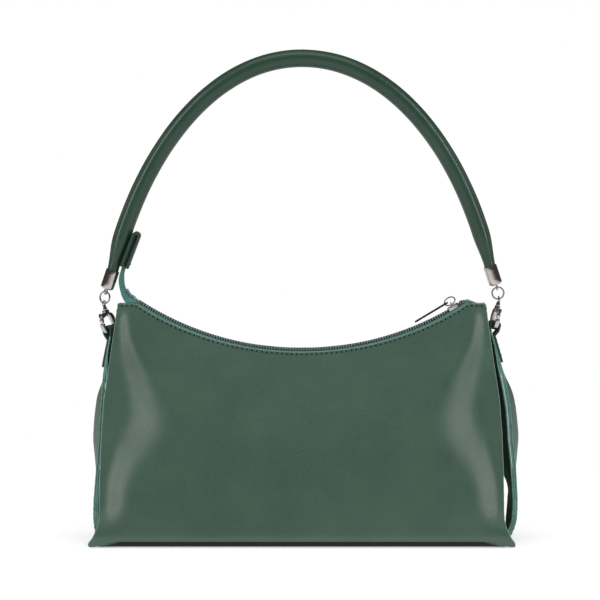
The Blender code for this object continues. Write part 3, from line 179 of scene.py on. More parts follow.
# Zip tail and its end tab.
TAIL_HALF_WIDTH = 6 * MM
TAIL_FOOT_DEPTH = 7.5 * MM
TAIL_FOLD_DEPTH = 4.0 * MM
TAIL_END_FOLD_DEPTH = 2.7 * MM
TAIL_BULGE = 7.9 * MM
TAIL_RISE = 48.0 * MM
TAIL_STATIONS = 64
TAIL_SHIFT_SHARE = 0.46
TAIL_COIL_SEAT_SHARE = 0.34
TAIL_COIL_LENGTH_SHARE = 0.25
TAIL_ROUTE_SHARES = (
    (0.0, 0.0), (0.82, 0.08), (1.26, 0.2), (1.38, 0.35), (1.14, 0.53), (0.56, 0.77), (0.02, 1.0))
TAB_LEATHER = 1.9 * MM
TAB_HALF_WIDTH = 7.5 * MM
TAB_LENGTH = 24 * MM

# Handle, ferrules, eyes and rings.
HANDLE_RADIUS = 6.2 * MM
HANDLE_END_RADIUS = 4.0 * MM
HANDLE_WALL = 1.3 * MM
HANDLE_TAPER = 24 * MM
HANDLE_CROWN_HEIGHT = 339.9 * MM
HANDLE_SHOULDER = 64.2 * MM
HANDLE_LEG_PULL = 82.5 * MM
HANDLE_START_LEAN = math.radians(13)
HANDLE_LEAN = math.radians(18.4)
HANDLE_SEAM_LIP = 0.22 * MM
HANDLE_SKIN_SLACK = 0.1 * MM
FERRULE_RADIUS = 4.75 * MM
FERRULE_LENGTH = 14 * MM
FERRULE_BORE_DEPTH = 12 * MM
FERRULE_CHAMFER = 1.1 * MM
EYE_RADIUS = 1.7 * MM
EYE_WIRE = 0.5 * MM
EYE_STANDOFF = 1.9 * MM
RING_RADIUS = 4.15 * MM
RING_WIRE = 0.6 * MM
RIGHT_RING_YAW = math.radians(6)
LEFT_RING_YAW = math.radians(-33)

# Swivel clasps, in their own frame: the hook's arc centre is the origin.
CLASP_HALF_WIDTH = 6.8 * MM
CLASP_HOLE_RADIUS = 4.4 * MM
CLASP_HALF_THICKNESS = 1.5 * MM
CLASP_HOLE_TOP = 7.0 * MM
CLASP_HOLE_TOP_RADIUS = 2.5 * MM
CLASP_SHOULDER_HEIGHT = 7.0 * MM
CLASP_COLLAR_RADIUS = 2.2 * MM
CLASP_TOP = 10.1 * MM
CLASP_TIP_HEIGHT = 1.2 * MM
CLASP_EDGE_ROUND = 0.35 * MM
CLASP_REACH = 15.0 * MM
PIVOT_ACROSS = 4.7 * MM
PIVOT_HEIGHT = 6.6 * MM
PIVOT_BOSS_RADIUS = 1.9 * MM
PIN_RADIUS = 0.45 * MM
GATE_LUG_RADIUS = 1.05 * MM
GATE_LUG_HALF = 0.6 * MM
GATE_BLADE_HALF = 1.2 * MM
GATE_TIP_RADIUS = 0.95 * MM
GATE_THUMB_REACH = 0.9 * MM
SWIVEL_POST_RADIUS = 0.9 * MM
SWIVEL_HEAD_RADIUS = 1.3 * MM
SWIVEL_HEAD_HEIGHT = 0.7 * MM
SWIVEL_HEAD_DROP = 0.75 * MM
RIGHT_HOOK_ACROSS = 136.3 * MM
RIGHT_HOOK_HEIGHT = 156.0 * MM
RIGHT_CLASP_LEAN = math.radians(10.6)
RIGHT_FERRULE_ACROSS = 137.5 * MM
LEFT_HOOK_ACROSS = 136.3 * MM
PIVOT_LINE_SLOPE = 0.011
RIGHT_CLASP_YAW = math.radians(15)
LEFT_CLASP_YAW = math.radians(-42)

# Side straps.
STRAP_THICKNESS = 2.6 * MM
LOOP_LEATHER = 1.5 * MM
LOOP_HALF_WIDTH = 3.4 * MM
STRAP_HALF_WIDTH = 9.5 * MM
LOOP_SIDE_GAP = 1.2 * MM
LOOP_FLOOR_LIFT = 2.1 * MM
LOOP_PINCH_DROP = 4.6 * MM
LOOP_TAIL_LENGTH = 20 * MM
STRAP_FOOT_HEIGHT = 0.5 * MM
STRAP_TWIST = math.radians(16)
RIGHT_STRAP_BOW = 150.2 * MM
LEFT_STRAP_BOW = 144.2 * MM
STRAP_FOOT_REACH = BASE_PANEL_HALF_LENGTH + SEAT_GAP + STRAP_THICKNESS / 2
LEAF_LEATHER = 1.3 * MM
LEAF_TOP_SHARE = 0.94
LEAF_OPENING = math.radians(34)
LEAF_STATIONS = 90
STRAP_FINE_STEPS = 360
STRAP_STATIONS = 120
BOW_RISE_SHARES = ((0.06, 0.6), (0.15, 0.86), (0.33, 1.0), (0.49, 0.97))
NECK_EASE_SHARES = ((0.616, 0.91), (0.707, 0.78), (0.805, 0.52), (0.882, 0.295))
TWIST_SHARES = (
    (0.0, 0.0), (0.04, 0.1), (0.11, 0.6), (0.2, 0.5), (0.36, -0.28),
    (0.49, -1.0), (0.7, -1.0), (0.8, -0.5), (1.0, 0.0))

# How finely the surfaces are divided.
PANEL_COLUMNS = 170
PANEL_ROWS = 96
ROLL_ROWS = 12
TAPE_COLUMNS = 150
HANDLE_RINGS = 260
HANDLE_SIDES = 56
GUSSET_ROWS = 72
GUSSET_COLUMNS = 44
BASE_ROWS = 40
BASE_COLUMNS = 90
LINING_LEVELS = 30
LINING_COLUMNS = 48
POCKET_ROWS = 16
POCKET_COLUMNS = 40
EDGE_STITCH_STEPS = 600
TAIL_COLUMNS = 18
TAB_COLUMNS = 16
LEG_STEPS = 240

# Stitches: how far the thread lifts and how thick it is along one stitch, and the needle hole, a
# dark disc that paints the shade inside it.
STITCH_LIFT_SHARES = (-1.3, -0.2, 0.05, 0.15, 0.05, -0.2, -1.3)
STITCH_RADIUS_SHARES = (0.75, 1.0, 1.05, 1.0, 1.05, 1.0, 0.75)
HOLE_RADIUS_SHARES = (0.9, 1.0, 0.85)
HOLE_SINK = 0.4 * MM
HOLE_RISE = 0.12 * MM

# Where the noise is read for each axis of a small shift, so that the three differ.
WANDER_OFFSETS = ((0.3, -0.6, 0.8), (-0.7, 0.2, -0.4), (0.5, 0.9, -0.1))

# The studio round the bag, in metres.
WHITE = (1.0, 1.0, 1.0, 1.0)
LIGHT_TARGET = (0.0, 0.0, 0.15)
STRIP_PLACE = (1.3, -0.95, 0.8)
STRIP_SIZE = (0.24, 1.5)
RIM_PLACE = (1.3, 0.35, 0.5)
RIM_SIZE = (0.3, 1.0)
TOP_PLACE = (0.0, -0.5, 1.5)
TOP_SIZE = (1.3, 0.9)
FLOOR_HALF_SIZE = 4.0
FLOOR_DROP = 0.2 * MM
FLOOR_FADE_START = 0.3
FLOOR_FADE_END = 0.55
HOOD_HALF_WIDTH = 2.3
HOOD_FAR = 4.0
HOOD_NEAR = -3.4
HOOD_LOW = 0.02
HOOD_HIGH = 3.0
SENSOR_WIDTH = 36.0


def size_field(label, about, value):
    return FloatProperty(name=label, description=about, default=value, unit='LENGTH')


def number_field(label, about, value):
    return FloatProperty(name=label, description=about, default=value)


def colour_field(label, about, colour):
    return FloatVectorProperty(
        name=label, description=about, default=colour, subtype='COLOR', min=0.0, max=1.0)


class BagSizes(bpy.types.PropertyGroup):
    """Sizes of the small detail that the fine surface adds."""

    stitch_pitch: size_field("Stitch pitch", "From one stitch to the next", 3.5 * MM)
    stitch_length: size_field("Stitch length", "Thread that shows in one stitch", 2.3 * MM)
    thread_radius: size_field("Thread radius", "Half the thread's thickness", 0.45 * MM)
    needle_hole: size_field("Needle hole", "Radius of the holes for the thread", 0.75 * MM)
    stitch_drop: size_field("Stitch drop", "From a leather edge down to its stitches", 1.5 * MM)
    coil_pitch: size_field("Coil pitch", "From one tooth of a row to the next", 1.88 * MM)
    coil_wire: size_field("Coil wire", "Radius of the coil's nylon wire", 0.42 * MM)
    seam_depth: size_field("Seam depth", "How deep the seam of the handle sinks", 0.7 * MM)
    cut_edge: size_field("Cut edge", "Rounding of a cut leather edge", 0.3 * MM)
    fray: size_field("Edge fray", "How far a cut leather edge wanders", 0.16 * MM)


class BagColours(bpy.types.PropertyGroup):
    """Colours of the bag's materials."""

    leather: colour_field("Leather", "Smooth face of the leather", (0.031, 0.082, 0.052))
    # Painted shade: near black and far darker than the body's leather, standing for the deep shade
    # under the bag.
    painted_underside_shade: colour_field("Underside", "Leather under the bag", (0.012, 0.01, 0.009))
    raw_edge: colour_field("Raw edge", "Cut edge and flesh side of leather", (0.14, 0.31, 0.265))
    cut_edge: colour_field("Cut edge", "Shaved edge of the body's leather", (0.3, 0.36, 0.33))
    tape: colour_field("Zip tape", "Woven tape of the zip", (0.05, 0.195, 0.16))
    coil: colour_field("Zip coil", "Nylon coil of the zip", (0.2, 0.28, 0.29))
    thread: colour_field("Thread", "Sewing thread", (0.045, 0.1, 0.078))
    nickel: colour_field("Nickel", "Plated clasps, rings and ferrules", (0.55, 0.515, 0.5))
    dark_nickel: colour_field("Dark nickel", "Plating of the zip's pull", (0.022, 0.02, 0.02))
    steel: colour_field("Spring steel", "Pins and leaf springs of the gates", (0.5, 0.5, 0.5))
    lining: colour_field("Lining", "Woven cloth inside the bag", (0.05, 0.09, 0.075))
    board: colour_field("Base board", "Stiffener under the lining", (0.2, 0.19, 0.17))
    core: colour_field("Handle core", "Filler cord inside the handle", (0.6, 0.56, 0.48))


class BagStudio(bpy.types.PropertyGroup):
    """Camera and lights of the plain studio."""

    lens: number_field("Lens", "Focal length of the camera, in millimetres", 187.3)
    distance: size_field("Distance", "From the camera to the bag", 2.2)
    elevation: FloatProperty(
        name="Elevation", description="How far the camera looks down", default=math.radians(3.2),
        subtype='ANGLE')
    aim_across: size_field("Aim across", "Where across the bag the camera looks", -0.0012)
    aim_height: size_field("Aim height", "Height that the camera looks at", 0.17)
    front_light: number_field("Front light", "Power of each strip in front, in watts", 11.0)
    side_light: number_field("Side light", "Power of each softbox behind, in watts", 1.0)
    top_light: number_field("Top light", "Power of the top softbox, in watts", 7.0)
    room_light: number_field("Room light", "Strength of the room's even light", 0.36)
    stitch_seed: IntProperty(
        name="Seed", description="Seed of the small irregularities", default=7)


def sizes():
    return bpy.context.scene.bag_sizes


def colours():
    return bpy.context.scene.bag_colours


# Numbers and curves.


def mix(start, end, share):
    return start + (end - start) * share


def clamp(value, low=0.0, high=1.0):
    return min(max(value, low), high)


def smooth_step(share):
    held = clamp(share)
    return held * held * (3.0 - 2.0 * held)


def bump_at(value, middle, width):
    """A smooth hill of height 1 round a middle, and 0 beyond the width."""
    return smooth_step(1.0 - abs(value - middle) / width)


def read_shares(shares, place):
    for before, after in zip(shares, shares[1:]):
        if place <= after[0]:
            return mix(before[1], after[1], (place - before[0]) / (after[0] - before[0]))
    return shares[-1][1]


def lengths_along(points):
    """The length of a route from its first point to each of its points."""
    lengths = [0.0]
    for start, end in zip(points, points[1:]):
        lengths.append(lengths[-1] + (end - start).length)
    return lengths


def even_points(fine, count):
    """Points at even lengths along a finely divided route."""
    lengths = lengths_along(fine)
    points = []
    index = 0
    for step in range(count):
        target = lengths[-1] * step / (count - 1)
        while index < len(fine) - 2 and lengths[index + 1] < target:
            index += 1
        span = lengths[index + 1] - lengths[index]
        points.append(fine[index].lerp(fine[index + 1], (target - lengths[index]) / span))
    return points


def smooth_route(route, count):
    """Reads count points, evenly spaced, from a smooth curve through a route's points."""
    ends = [route[0] * 2 - route[1], *route, route[-1] * 2 - route[-2]]
    fine = []
    steps = 24
    for index in range(1, len(ends) - 2):
        before, start, end, after = ends[index - 1:index + 3]
        for step in range(steps):
            t = step / steps
            fine.append(0.5 * (
                start * 2
                + (end - before) * t
                + (before * 2 - start * 5 + end * 4 - after) * t ** 2
                + (start * 3 - before - end * 3 + after) * t ** 3))
    fine.append(route[-1].copy())
    return even_points(fine, count)


def spaced(low, high, steps):
    """Even steps from low to high, both included."""
    return [mix(low, high, step / steps) for step in range(steps + 1)]


def circle_angles(count):
    return [2 * math.pi * step / count for step in range(count)]


def arc_points(centre, radius, start, end, count):
    return [(centre[0] + radius * math.cos(angle), centre[1] + radius * math.sin(angle))
            for angle in spaced(start, end, count - 1)]


def round_rectangle(half_length, half_width, radius, corner_points=8):
    outline = []
    for index, (side, end) in enumerate(((1, 1), (-1, 1), (-1, -1), (1, -1))):
        centre = (side * (half_length - radius), end * (half_width - radius))
        start = index * math.pi / 2
        outline += arc_points(centre, radius, start, start + math.pi / 2, corner_points)
    return outline


def frame_matrix(place, across, normal, up):
    """A matrix with the given X, Y and Z directions at a place."""
    matrix = Matrix((across, normal, up)).transposed().to_4x4()
    matrix.translation = place
    return matrix


def run_at(points, index):
    """The direction of a route at one of its points."""
    after = points[min(index + 1, len(points) - 1)]
    return (after - points[max(index - 1, 0)]).normalized()


def left_of(run):
    """The direction square to a run, on its left in the bag's upright plane."""
    return Vector((-run.z, 0.0, run.x))


# The body's form, as in the frame.


def side_edge(height):
    """How far the body reaches sideways at a height."""
    bulge = read_shares(SIDE_EDGE_SHARES, height / CORNER_HEIGHT)
    straight = mix(TOP_HALF_LENGTH, BODY_HALF_LENGTH, bulge)
    ear = max(0.0, 1.0 - height / EAR_HEIGHT) ** 2
    rounding = max(0.0, 1.0 - height / EAR_TIP_HEIGHT) ** 2
    return straight + EAR_REACH * (ear - rounding * EAR_TIP_ROUNDING)


def top_edge(across):
    """Height of the panels' top edge."""
    held = min(abs(across), DIP_RADIUS * math.sin(DIP_HALF_ANGLE))
    return DIP_CENTRE_HEIGHT - math.sqrt(DIP_RADIUS ** 2 - held ** 2)


def half_depth(share, height, top):
    """Half of the body's depth, at a share of its length and a height below its top edge."""
    edge_depth = mix(TOP_HALF_DEPTH, TOP_CORNER_HALF_DEPTH, share ** 2)
    rise = clamp((height - BASE_ROLL_RADIUS) / (top - BASE_ROLL_RADIUS))
    return mix(BASE_HALF_DEPTH, edge_depth, rise ** 1.25) - side_fold(abs(share), rise)


def side_fold(side, rise):
    """How deep a panel's sides fold inward: widely at mid height, narrowly above and below.

    The leather bends in gradually from the middle and ends at a firmer crease."""
    spread = 1.0 - math.exp(-((rise - FOLD_MIDDLE_RISE) / FOLD_REACH) ** 2)
    border = mix(FOLD_MIDDLE_BORDER, FOLD_END_BORDER, spread)
    narrow = smooth_step((rise - FOLD_NARROW_FROM) / FOLD_NARROW_OVER)
    width = mix(FOLD_MIDDLE_WIDTH, FOLD_END_WIDTH, spread) * mix(1.0, FOLD_TOP_NARROWING, narrow)
    share = clamp((side - border) / (2 * width) + 1.0)
    fade = smooth_step(rise / FOLD_FOOT_FADE) * smooth_step((1.0 - rise) / FOLD_TOP_FADE)
    depth = FOLD_SLOPE * BODY_HALF_LENGTH * width * FOLD_DEPTH_SHARE * fade
    return depth * share ** 3 * (4.0 - 3.0 * share)


def panel_point(share, rise, inward=0.0):
    """A point on the front panel, rise 0 at the roll's top and 1 at the top edge."""
    top = top_edge(share * TOP_HALF_LENGTH)
    height = mix(BASE_ROLL_RADIUS, top, rise)
    depth = half_depth(share, height, top) - inward
    return Vector((share * side_edge(height), -depth, height))


def seam_height(share):
    """Height of the seam between a panel and the base: raised, but for the corners."""
    return mix(BASE_SEAM_LIFT, 0.4 * MM, smooth_step((abs(share) - 0.86) / 0.13))


def hem_point(share, drop):
    """A point between a panel's foot and the base seam, drop 0 at the top of it."""
    height = mix(BASE_ROLL_RADIUS, seam_height(share), drop)
    depth = BASE_HALF_DEPTH - BASE_ROLL_RADIUS * (1.0 - math.sqrt(1.0 - (drop * 0.62) ** 2))
    return Vector((share * side_edge(height), -depth, height))


def on_back(points):
    """The same points on the back of the bag, half a turn round its upright middle."""
    return [Vector((-point.x, -point.y, point.z)) for point in points]


def mirrored(rows):
    """The same rows on the back of the bag, turned so that they face outward."""
    return [on_back(row) for row in rows]


def zip_point(angle, offset, lift):
    """A point by angle along the dip's arc, offset in Y and lift above the panels' top edge."""
    radius = DIP_RADIUS - lift
    return Vector((radius * math.sin(angle), offset, DIP_CENTRE_HEIGHT - radius * math.cos(angle)))


def zip_frame(angle, lift):
    """A frame on the zip: X along it to the right, Y to the back, Z away from the bag."""
    along = Vector((math.cos(angle), 0.0, math.sin(angle)))
    up = Vector((-math.sin(angle), 0.0, math.cos(angle)))
    return frame_matrix(zip_point(angle, 0.0, lift), along, Vector((0, 1, 0)), up)


# Materials. A group puts out masks, heights and colours, and each material sets its own shader.


class Wiring:
    """Adds nodes to a tree and wires them."""

    def __init__(self, tree):
        self.tree = tree

    def feed(self, node, inputs):
        """Gives each input a value of its own or another node's output."""
        for key, value in inputs.items():
            if isinstance(value, bpy.types.NodeSocket):
                self.tree.links.new(value, node.inputs[key])
            else:
                node.inputs[key].default_value = value

    def add(self, kind, inputs=None, **settings):
        node = self.tree.nodes.new(kind)
        for key, value in settings.items():
            setattr(node, key, value)
        self.feed(node, inputs or {})
        return node

    def math(self, operation, first, second=0.5):
        return self.add('ShaderNodeMath', {0: first, 1: second}, operation=operation).outputs[0]

    def weigh(self, *parts):
        """The sum of values, each times its weight."""
        total = None
        for value, weight in parts:
            part = self.math('MULTIPLY', value, weight)
            total = part if total is None else self.math('ADD', total, part)
        return total

    def blend(self, share, first, second):
        """A mix of two colours."""
        node = self.add('ShaderNodeMix', {0: share, 6: first, 7: second}, data_type='RGBA')
        return node.outputs[2]

    def ramp(self, value, low, high, start=0.0, end=1.0):
        node = self.add('ShaderNodeMapRange', {
            'Value': value, 'From Min': low, 'From Max': high, 'To Min': start, 'To Max': end})
        return node.outputs[0]

    def noise(self, place, scale, detail=3.0, roughness=0.5):
        node = self.add('ShaderNodeTexNoise', {
            'Vector': place, 'Scale': scale, 'Detail': detail, 'Roughness': roughness})
        return node.outputs[0]


def effect(name, inputs, outputs, wire):
    """A shader node group of numbers: wire(wiring, given) returns its outputs in order."""
    group = bpy.data.node_groups.get(name)
    if group:
        return group
    group = bpy.data.node_groups.new(name, 'ShaderNodeTree')
    for socket, default in inputs:
        made = group.interface.new_socket(socket, in_out='INPUT', socket_type='NodeSocketFloat')
        made.default_value = default
    for socket in outputs:
        group.interface.new_socket(socket, in_out='OUTPUT', socket_type='NodeSocketFloat')
    wiring = Wiring(group)
    results = wire(wiring, wiring.add('NodeGroupInput').outputs)
    wiring.add('NodeGroupOutput', dict(zip(outputs, results)))
    return group


def own_place(wiring):
    """A place in the object's own axes."""
    return wiring.add('ShaderNodeTexCoord').outputs['Object']


def scaled_place(wiring, scale):
    inputs = {0: own_place(wiring), 'Scale': scale}
    return wiring.add('ShaderNodeVectorMath', inputs, operation='SCALE').outputs[0]


def grain_effect():
    """Leather grain: fine pores, soft creases and a slow mottle."""
    def wire(wiring, given):
        spot = scaled_place(wiring, given['Scale'])
        pores = wiring.add(
            'ShaderNodeTexVoronoi', {'Vector': spot, 'Scale': 1300.0, 'Randomness': 1.0},
            feature='SMOOTH_F1').outputs['Distance']
        fine = wiring.noise(spot, 2100.0, 3.0, 0.6)
        speckle = wiring.noise(spot, 620.0, 5.0, 0.7)
        crease = wiring.noise(spot, 55.0, 4.0, 0.55)
        mottle = wiring.noise(spot, 22.0, 5.0, 0.6)
        ridge = wiring.math('ABSOLUTE', wiring.math('SUBTRACT', crease, 0.5))
        ridge = wiring.math('MULTIPLY', ridge, 2.0)
        height = wiring.weigh(
            (pores, 0.12), (fine, 0.25), (speckle, 0.5), (ridge, given['Creases']))
        return height, wiring.ramp(mottle, 0.3, 0.7), wiring.ramp(speckle, 0.35, 0.65)
    inputs = (("Scale", 1.0), ("Creases", 0.5))
    return effect("Leather grain", inputs, ("Height", "Mottle", "Speckle"), wire)


def fibre_effect():
    """Torn fibres of a cut edge or of the flesh side."""
    def wire(wiring, given):
        spot = scaled_place(wiring, given['Scale'])
        fluff = wiring.noise(spot, 1500.0, 6.0, 0.75)
        clumps = wiring.noise(spot, 300.0, 4.0, 0.6)
        tone = wiring.weigh((fluff, 0.6), (clumps, 0.5))
        return wiring.math('ADD', fluff, clumps), wiring.ramp(tone, 0.38, 0.72)
    return effect("Leather fibre", (("Scale", 1.0),), ("Height", "Shade"), wire)


def weave_effect():
    """A plain weave that follows the object's own axes, so it needs no unwrapping."""
    def wire(wiring, given):
        place = own_place(wiring)
        split = wiring.add('ShaderNodeSeparateXYZ', {0: place})
        turn = wiring.math('MULTIPLY', given[0], math.pi)
        across, deep, up = (
            wiring.math('SINE', wiring.math('MULTIPLY', split.outputs[axis], turn))
            for axis in range(3))
        fuzz = wiring.noise(place, 3000.0, 4.0, 0.7)
        height = wiring.weigh(
            (wiring.math('MULTIPLY', across, up), 0.5),
            (wiring.math('MULTIPLY', deep, up), 0.5), (fuzz, 0.8))
        return height, wiring.ramp(height, -0.3, 1.0)
    return effect("Weave", (("Threads per metre", 2400.0),), ("Height", "Shade"), wire)


def handling_effect():
    """Fine scratches and smudges of plated metal."""
    def wire(wiring, given):
        spot = scaled_place(wiring, given['Scale'])
        stretched = wiring.add('ShaderNodeMapping', {'Vector': spot, 'Scale': (1.0, 1.0, 0.12)})
        smudge = wiring.noise(spot, 260.0, 4.0, 0.6)
        lines = wiring.noise(stretched.outputs[0], 2600.0, 2.0, 0.5)
        return wiring.ramp(smudge, 0.35, 0.7), wiring.ramp(lines, 0.3, 0.7)
    return effect("Handling marks", (("Scale", 1.0),), ("Smudge", "Scratch"), wire)


def made_once(build):
    """Lets a function that makes a material find the one of that name, if there is one."""
    def find_or_make(name, *values, **options):
        return bpy.data.materials.get(name) or build(name, *values, **options)
    return find_or_make


def new_material(name):
    made = bpy.data.materials.new(name)
    made.use_nodes = True
    wiring = Wiring(made.node_tree)
    return made, wiring, made.node_tree.nodes["Principled BSDF"]


def shade(colour, factor):
    return (*(clamp(channel * factor) for channel in colour), 1.0)


def darker(colour, share):
    return [channel * share for channel in colour]


def wire_bump(wiring, shader, height, strength, distance):
    inputs = {'Strength': strength, 'Distance': distance, 'Height': height}
    wiring.feed(shader, {'Normal': wiring.add('ShaderNodeBump', inputs).outputs[0]})


@made_once
def leather_material(name, colour, roughness, scale=1.0, creases=0.5, bump=0.35, shine=0.5):
    made, wiring, shader = new_material(name)
    inputs = {'Scale': scale, 'Creases': creases}
    grain = wiring.add('ShaderNodeGroup', inputs, node_tree=grain_effect()).outputs
    toned = wiring.blend(grain['Mottle'], shade(colour, 0.84), shade(colour, 1.14))
    specks = wiring.math('MULTIPLY', grain['Speckle'], 0.1)
    wiring.feed(shader, {
        'Base Color': wiring.blend(specks, toned, shade(colour, 1.3)),
        'Roughness': wiring.ramp(grain['Speckle'], 0.0, 1.0, roughness, roughness + 0.1),
        'Specular IOR Level': shine, 'Sheen Weight': 0.04, 'Sheen Roughness': 0.5})
    wire_bump(wiring, shader, grain['Height'], bump, 0.12 * MM)
    return made


def smooth_leather():
    return leather_material("smooth green leather", colours().leather, 0.4, bump=0.7, shine=0.85)


def strap_leather():
    return leather_material("green strap leather", colours().leather, 0.45, 1.2, 0.7, 0.4)


def dark_cut():
    """The inked cut edge of the straps' loops and of the tab."""
    colour = darker(colours().leather, 0.5)
    return leather_material("inked leather edge", colour, 0.6, 1.5, 1.0, 0.8)


# The base's leather takes the near-black painted shade colour, for the deep shade under the bag.
def base_leather_in_painted_shade():
    return leather_material("base leather", colours().painted_underside_shade, 0.75)


def handle_leather():
    colour = darker(colours().leather, 0.66)
    return leather_material("handle leather", colour, 0.25, 1.1, 0.2, 0.05, 0.4)


@made_once
def fibre_material(name, colour, tones, roughness, bump, depth, sheen=0.0):
    """Fibres between a darker and a lighter tone of one colour."""
    made, wiring, shader = new_material(name)
    fibre = wiring.add('ShaderNodeGroup', node_tree=fibre_effect()).outputs
    dark, light = (shade(colour, tone) for tone in tones)
    wiring.feed(shader, {
        'Base Color': wiring.blend(fibre['Shade'], dark, light),
        'Roughness': roughness, 'Sheen Weight': sheen})
    wire_bump(wiring, shader, fibre['Height'], bump, depth)
    return made


def raw_edge():
    return fibre_material(
        "raw leather edge", colours().raw_edge, (0.5, 1.35), 0.9, 0.7, 0.2 * MM, 0.25)


def cut_leather():
    """The closely shaved edge of the body's leather, paler than its face."""
    return fibre_material(
        "cut leather edge", colours().cut_edge, (0.6, 1.3), 0.6, 0.4, 0.1 * MM)


@made_once
def woven(name, colour, threads, sheen):
    made, wiring, shader = new_material(name)
    weave = wiring.add('ShaderNodeGroup', {0: threads}, node_tree=weave_effect()).outputs
    wiring.feed(shader, {
        'Base Color': wiring.blend(weave['Shade'], shade(colour, 0.55), shade(colour, 1.3)),
        'Roughness': 0.85, 'Sheen Weight': sheen})
    wire_bump(wiring, shader, weave['Height'], 0.6, 0.12 * MM)
    return made


def zip_tape_cloth():
    return woven("woven zip tape", colours().tape, 2200.0, 0.2)


def lining_cloth():
    return woven("lining cloth", colours().lining, 1600.0, 0.1)


def core_cord():
    return woven("handle core cord", colours().core, 900.0, 0.1)


@made_once
def spun_material(name, colour, roughness, scale):
    """Nylon wire or waxed thread: even colour with a fine twist."""
    made, wiring, shader = new_material(name)
    twist = wiring.noise(own_place(wiring), scale, 3.0, 0.6)
    tone = wiring.ramp(twist, 0.3, 0.7)
    wiring.feed(shader, {
        'Base Color': wiring.blend(tone, shade(colour, 0.6), shade(colour, 1.5)),
        'Roughness': roughness})
    wire_bump(wiring, shader, twist, 0.4, 0.08 * MM)
    return made


def coil_nylon():
    return spun_material("coil nylon", colours().coil, 0.35, 1800.0)


def waxed_thread():
    return spun_material("waxed thread", colours().thread, 0.55, 5200.0)


@made_once
def plated(name, colour, roughness):
    made, wiring, shader = new_material(name)
    marks = wiring.add('ShaderNodeGroup', node_tree=handling_effect()).outputs
    dulled = wiring.math('MULTIPLY', marks['Smudge'], 0.1)
    wiring.feed(shader, {
        'Base Color': wiring.blend(marks['Smudge'], shade(colour, 1.0), shade(colour, 0.88)),
        'Roughness': wiring.math('ADD', dulled, roughness), 'Metallic': 1.0})
    wire_bump(wiring, shader, marks['Scratch'], 0.06, 0.03 * MM)
    return made


METALS = ("polished nickel", "dark nickel", "spring steel")


def nickel():
    return plated("polished nickel", colours().nickel, 0.21)


def dark_nickel():
    return plated("dark nickel", colours().dark_nickel, 0.3)


def spring_steel():
    return plated("spring steel", colours().steel, 0.3)


# Near-black painted shade: the dark inside the needle holes, and the coil's thread and cord that
# make the gaps between its turns read dark.
def painted_black_shade():
    return spun_material("needle hole", darker(colours().leather, 0.05), 0.8, 900.0)


def board_fibre():
    return fibre_material(
        "base board fibre", colours().board, (0.75, 1.15), 0.9, 0.3, 0.1 * MM)


# Making meshes.


def add_piece(name, mesh_data, finishes, matrix=None):
    mesh = bpy.data.meshes.new(name)
    mesh_data.to_mesh(mesh)
    mesh_data.free()
    for finish in finishes:
        mesh.materials.append(finish)
    mesh.shade_smooth()
    made = bpy.data.objects.new(name, mesh)
    bpy.context.scene.collection.objects.link(made)
    if matrix is not None:
        mesh.transform(matrix)
    return made


def add_solid(name, mesh_data, finishes, matrix=None):
    """Adds a mesh with its faces turned outward."""
    bmesh.ops.recalc_face_normals(mesh_data, faces=mesh_data.faces)
    return add_piece(name, mesh_data, finishes, matrix)


def dress(piece, body, slot, *nodes):
    """Hangs a finished piece on its body, in place of the nodes that it stands for."""
    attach(piece, body)
    if nodes:
        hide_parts(*nodes)
    return piece


def settle(made):
    """Turns an object's modifiers into its mesh."""
    bpy.context.view_layer.update()
    graph = bpy.context.evaluated_depsgraph_get()
    mesh = bpy.data.meshes.new_from_object(made.evaluated_get(graph))
    made.modifiers.clear()
    worn = made.data
    made.data = mesh
    bpy.data.meshes.remove(worn)
    return made


def combine(made, other, operation):
    """Joins or cuts one object with another, which is then used up."""
    boolean = made.modifiers.new(operation.lower(), 'BOOLEAN')
    boolean.operation = operation
    boolean.object = other
    boolean.solver = 'EXACT'
    settle(made)
    bpy.data.objects.remove(other, do_unlink=True)
    return made


def soften(made, width, segments=3, angle=35):
    """Rounds the sharp edges of a hard piece."""
    bevel = made.modifiers.new("rounded edges", 'BEVEL')
    bevel.width = width
    bevel.segments = segments
    bevel.limit_method = 'ANGLE'
    bevel.angle_limit = math.radians(angle)
    bevel.harden_normals = True
    return made


def grid_faces(mesh_data, rows, closed=False, finish_of=None):
    grid = [[mesh_data.verts.new(point) for point in row] for row in rows]
    for step, (lower, upper) in enumerate(zip(grid, grid[1:])):
        count = len(lower)
        for index in range(count if closed else count - 1):
            after = (index + 1) % count
            face = mesh_data.faces.new((lower[index], lower[after], upper[after], upper[index]))
            if finish_of:
                face.material_index = finish_of(step, index)
    return grid


def thicken(made, thickness, offset):
    """Makes a sheet solid: inward at an offset of -1 and outward at 1."""
    solid = made.modifiers.new("thickness", 'SOLIDIFY')
    solid.thickness = thickness
    solid.offset = offset
    solid.use_even_offset = True
    return solid


def cut_sheet(name, rows, thickness, finishes, closed=False, edge=None):
    """A sheet with a cut rim: the grid is its face, made solid inward, with a raw edge."""
    mesh_data = bmesh.new()
    grid_faces(mesh_data, rows, closed)
    made = add_piece(name, mesh_data, finishes)
    solid = thicken(made, thickness, -1.0)
    if len(finishes) > 1:
        solid.material_offset_rim = 1
        solid.material_offset = len(finishes) - 1
    rim = sizes().cut_edge if edge is None else edge
    bevel = soften(made, rim, 2, 60).modifiers["rounded edges"]
    bevel.material = min(1, len(finishes) - 1)
    return made


def add_tube(mesh_data, rings, finish_of, cap_finish):
    """Adds a skin through closed rings of equal count, capped at both ends."""
    grid = grid_faces(mesh_data, rings, True, finish_of)
    for cap in (list(reversed(grid[0])), grid[-1]):
        mesh_data.faces.new(cap).material_index = cap_finish


def loft(name, rings, finishes, finish_of=None, matrix=None, cap_finish=0):
    mesh_data = bmesh.new()
    add_tube(mesh_data, rings, finish_of, cap_finish)
    return add_solid(name, mesh_data, finishes, matrix)


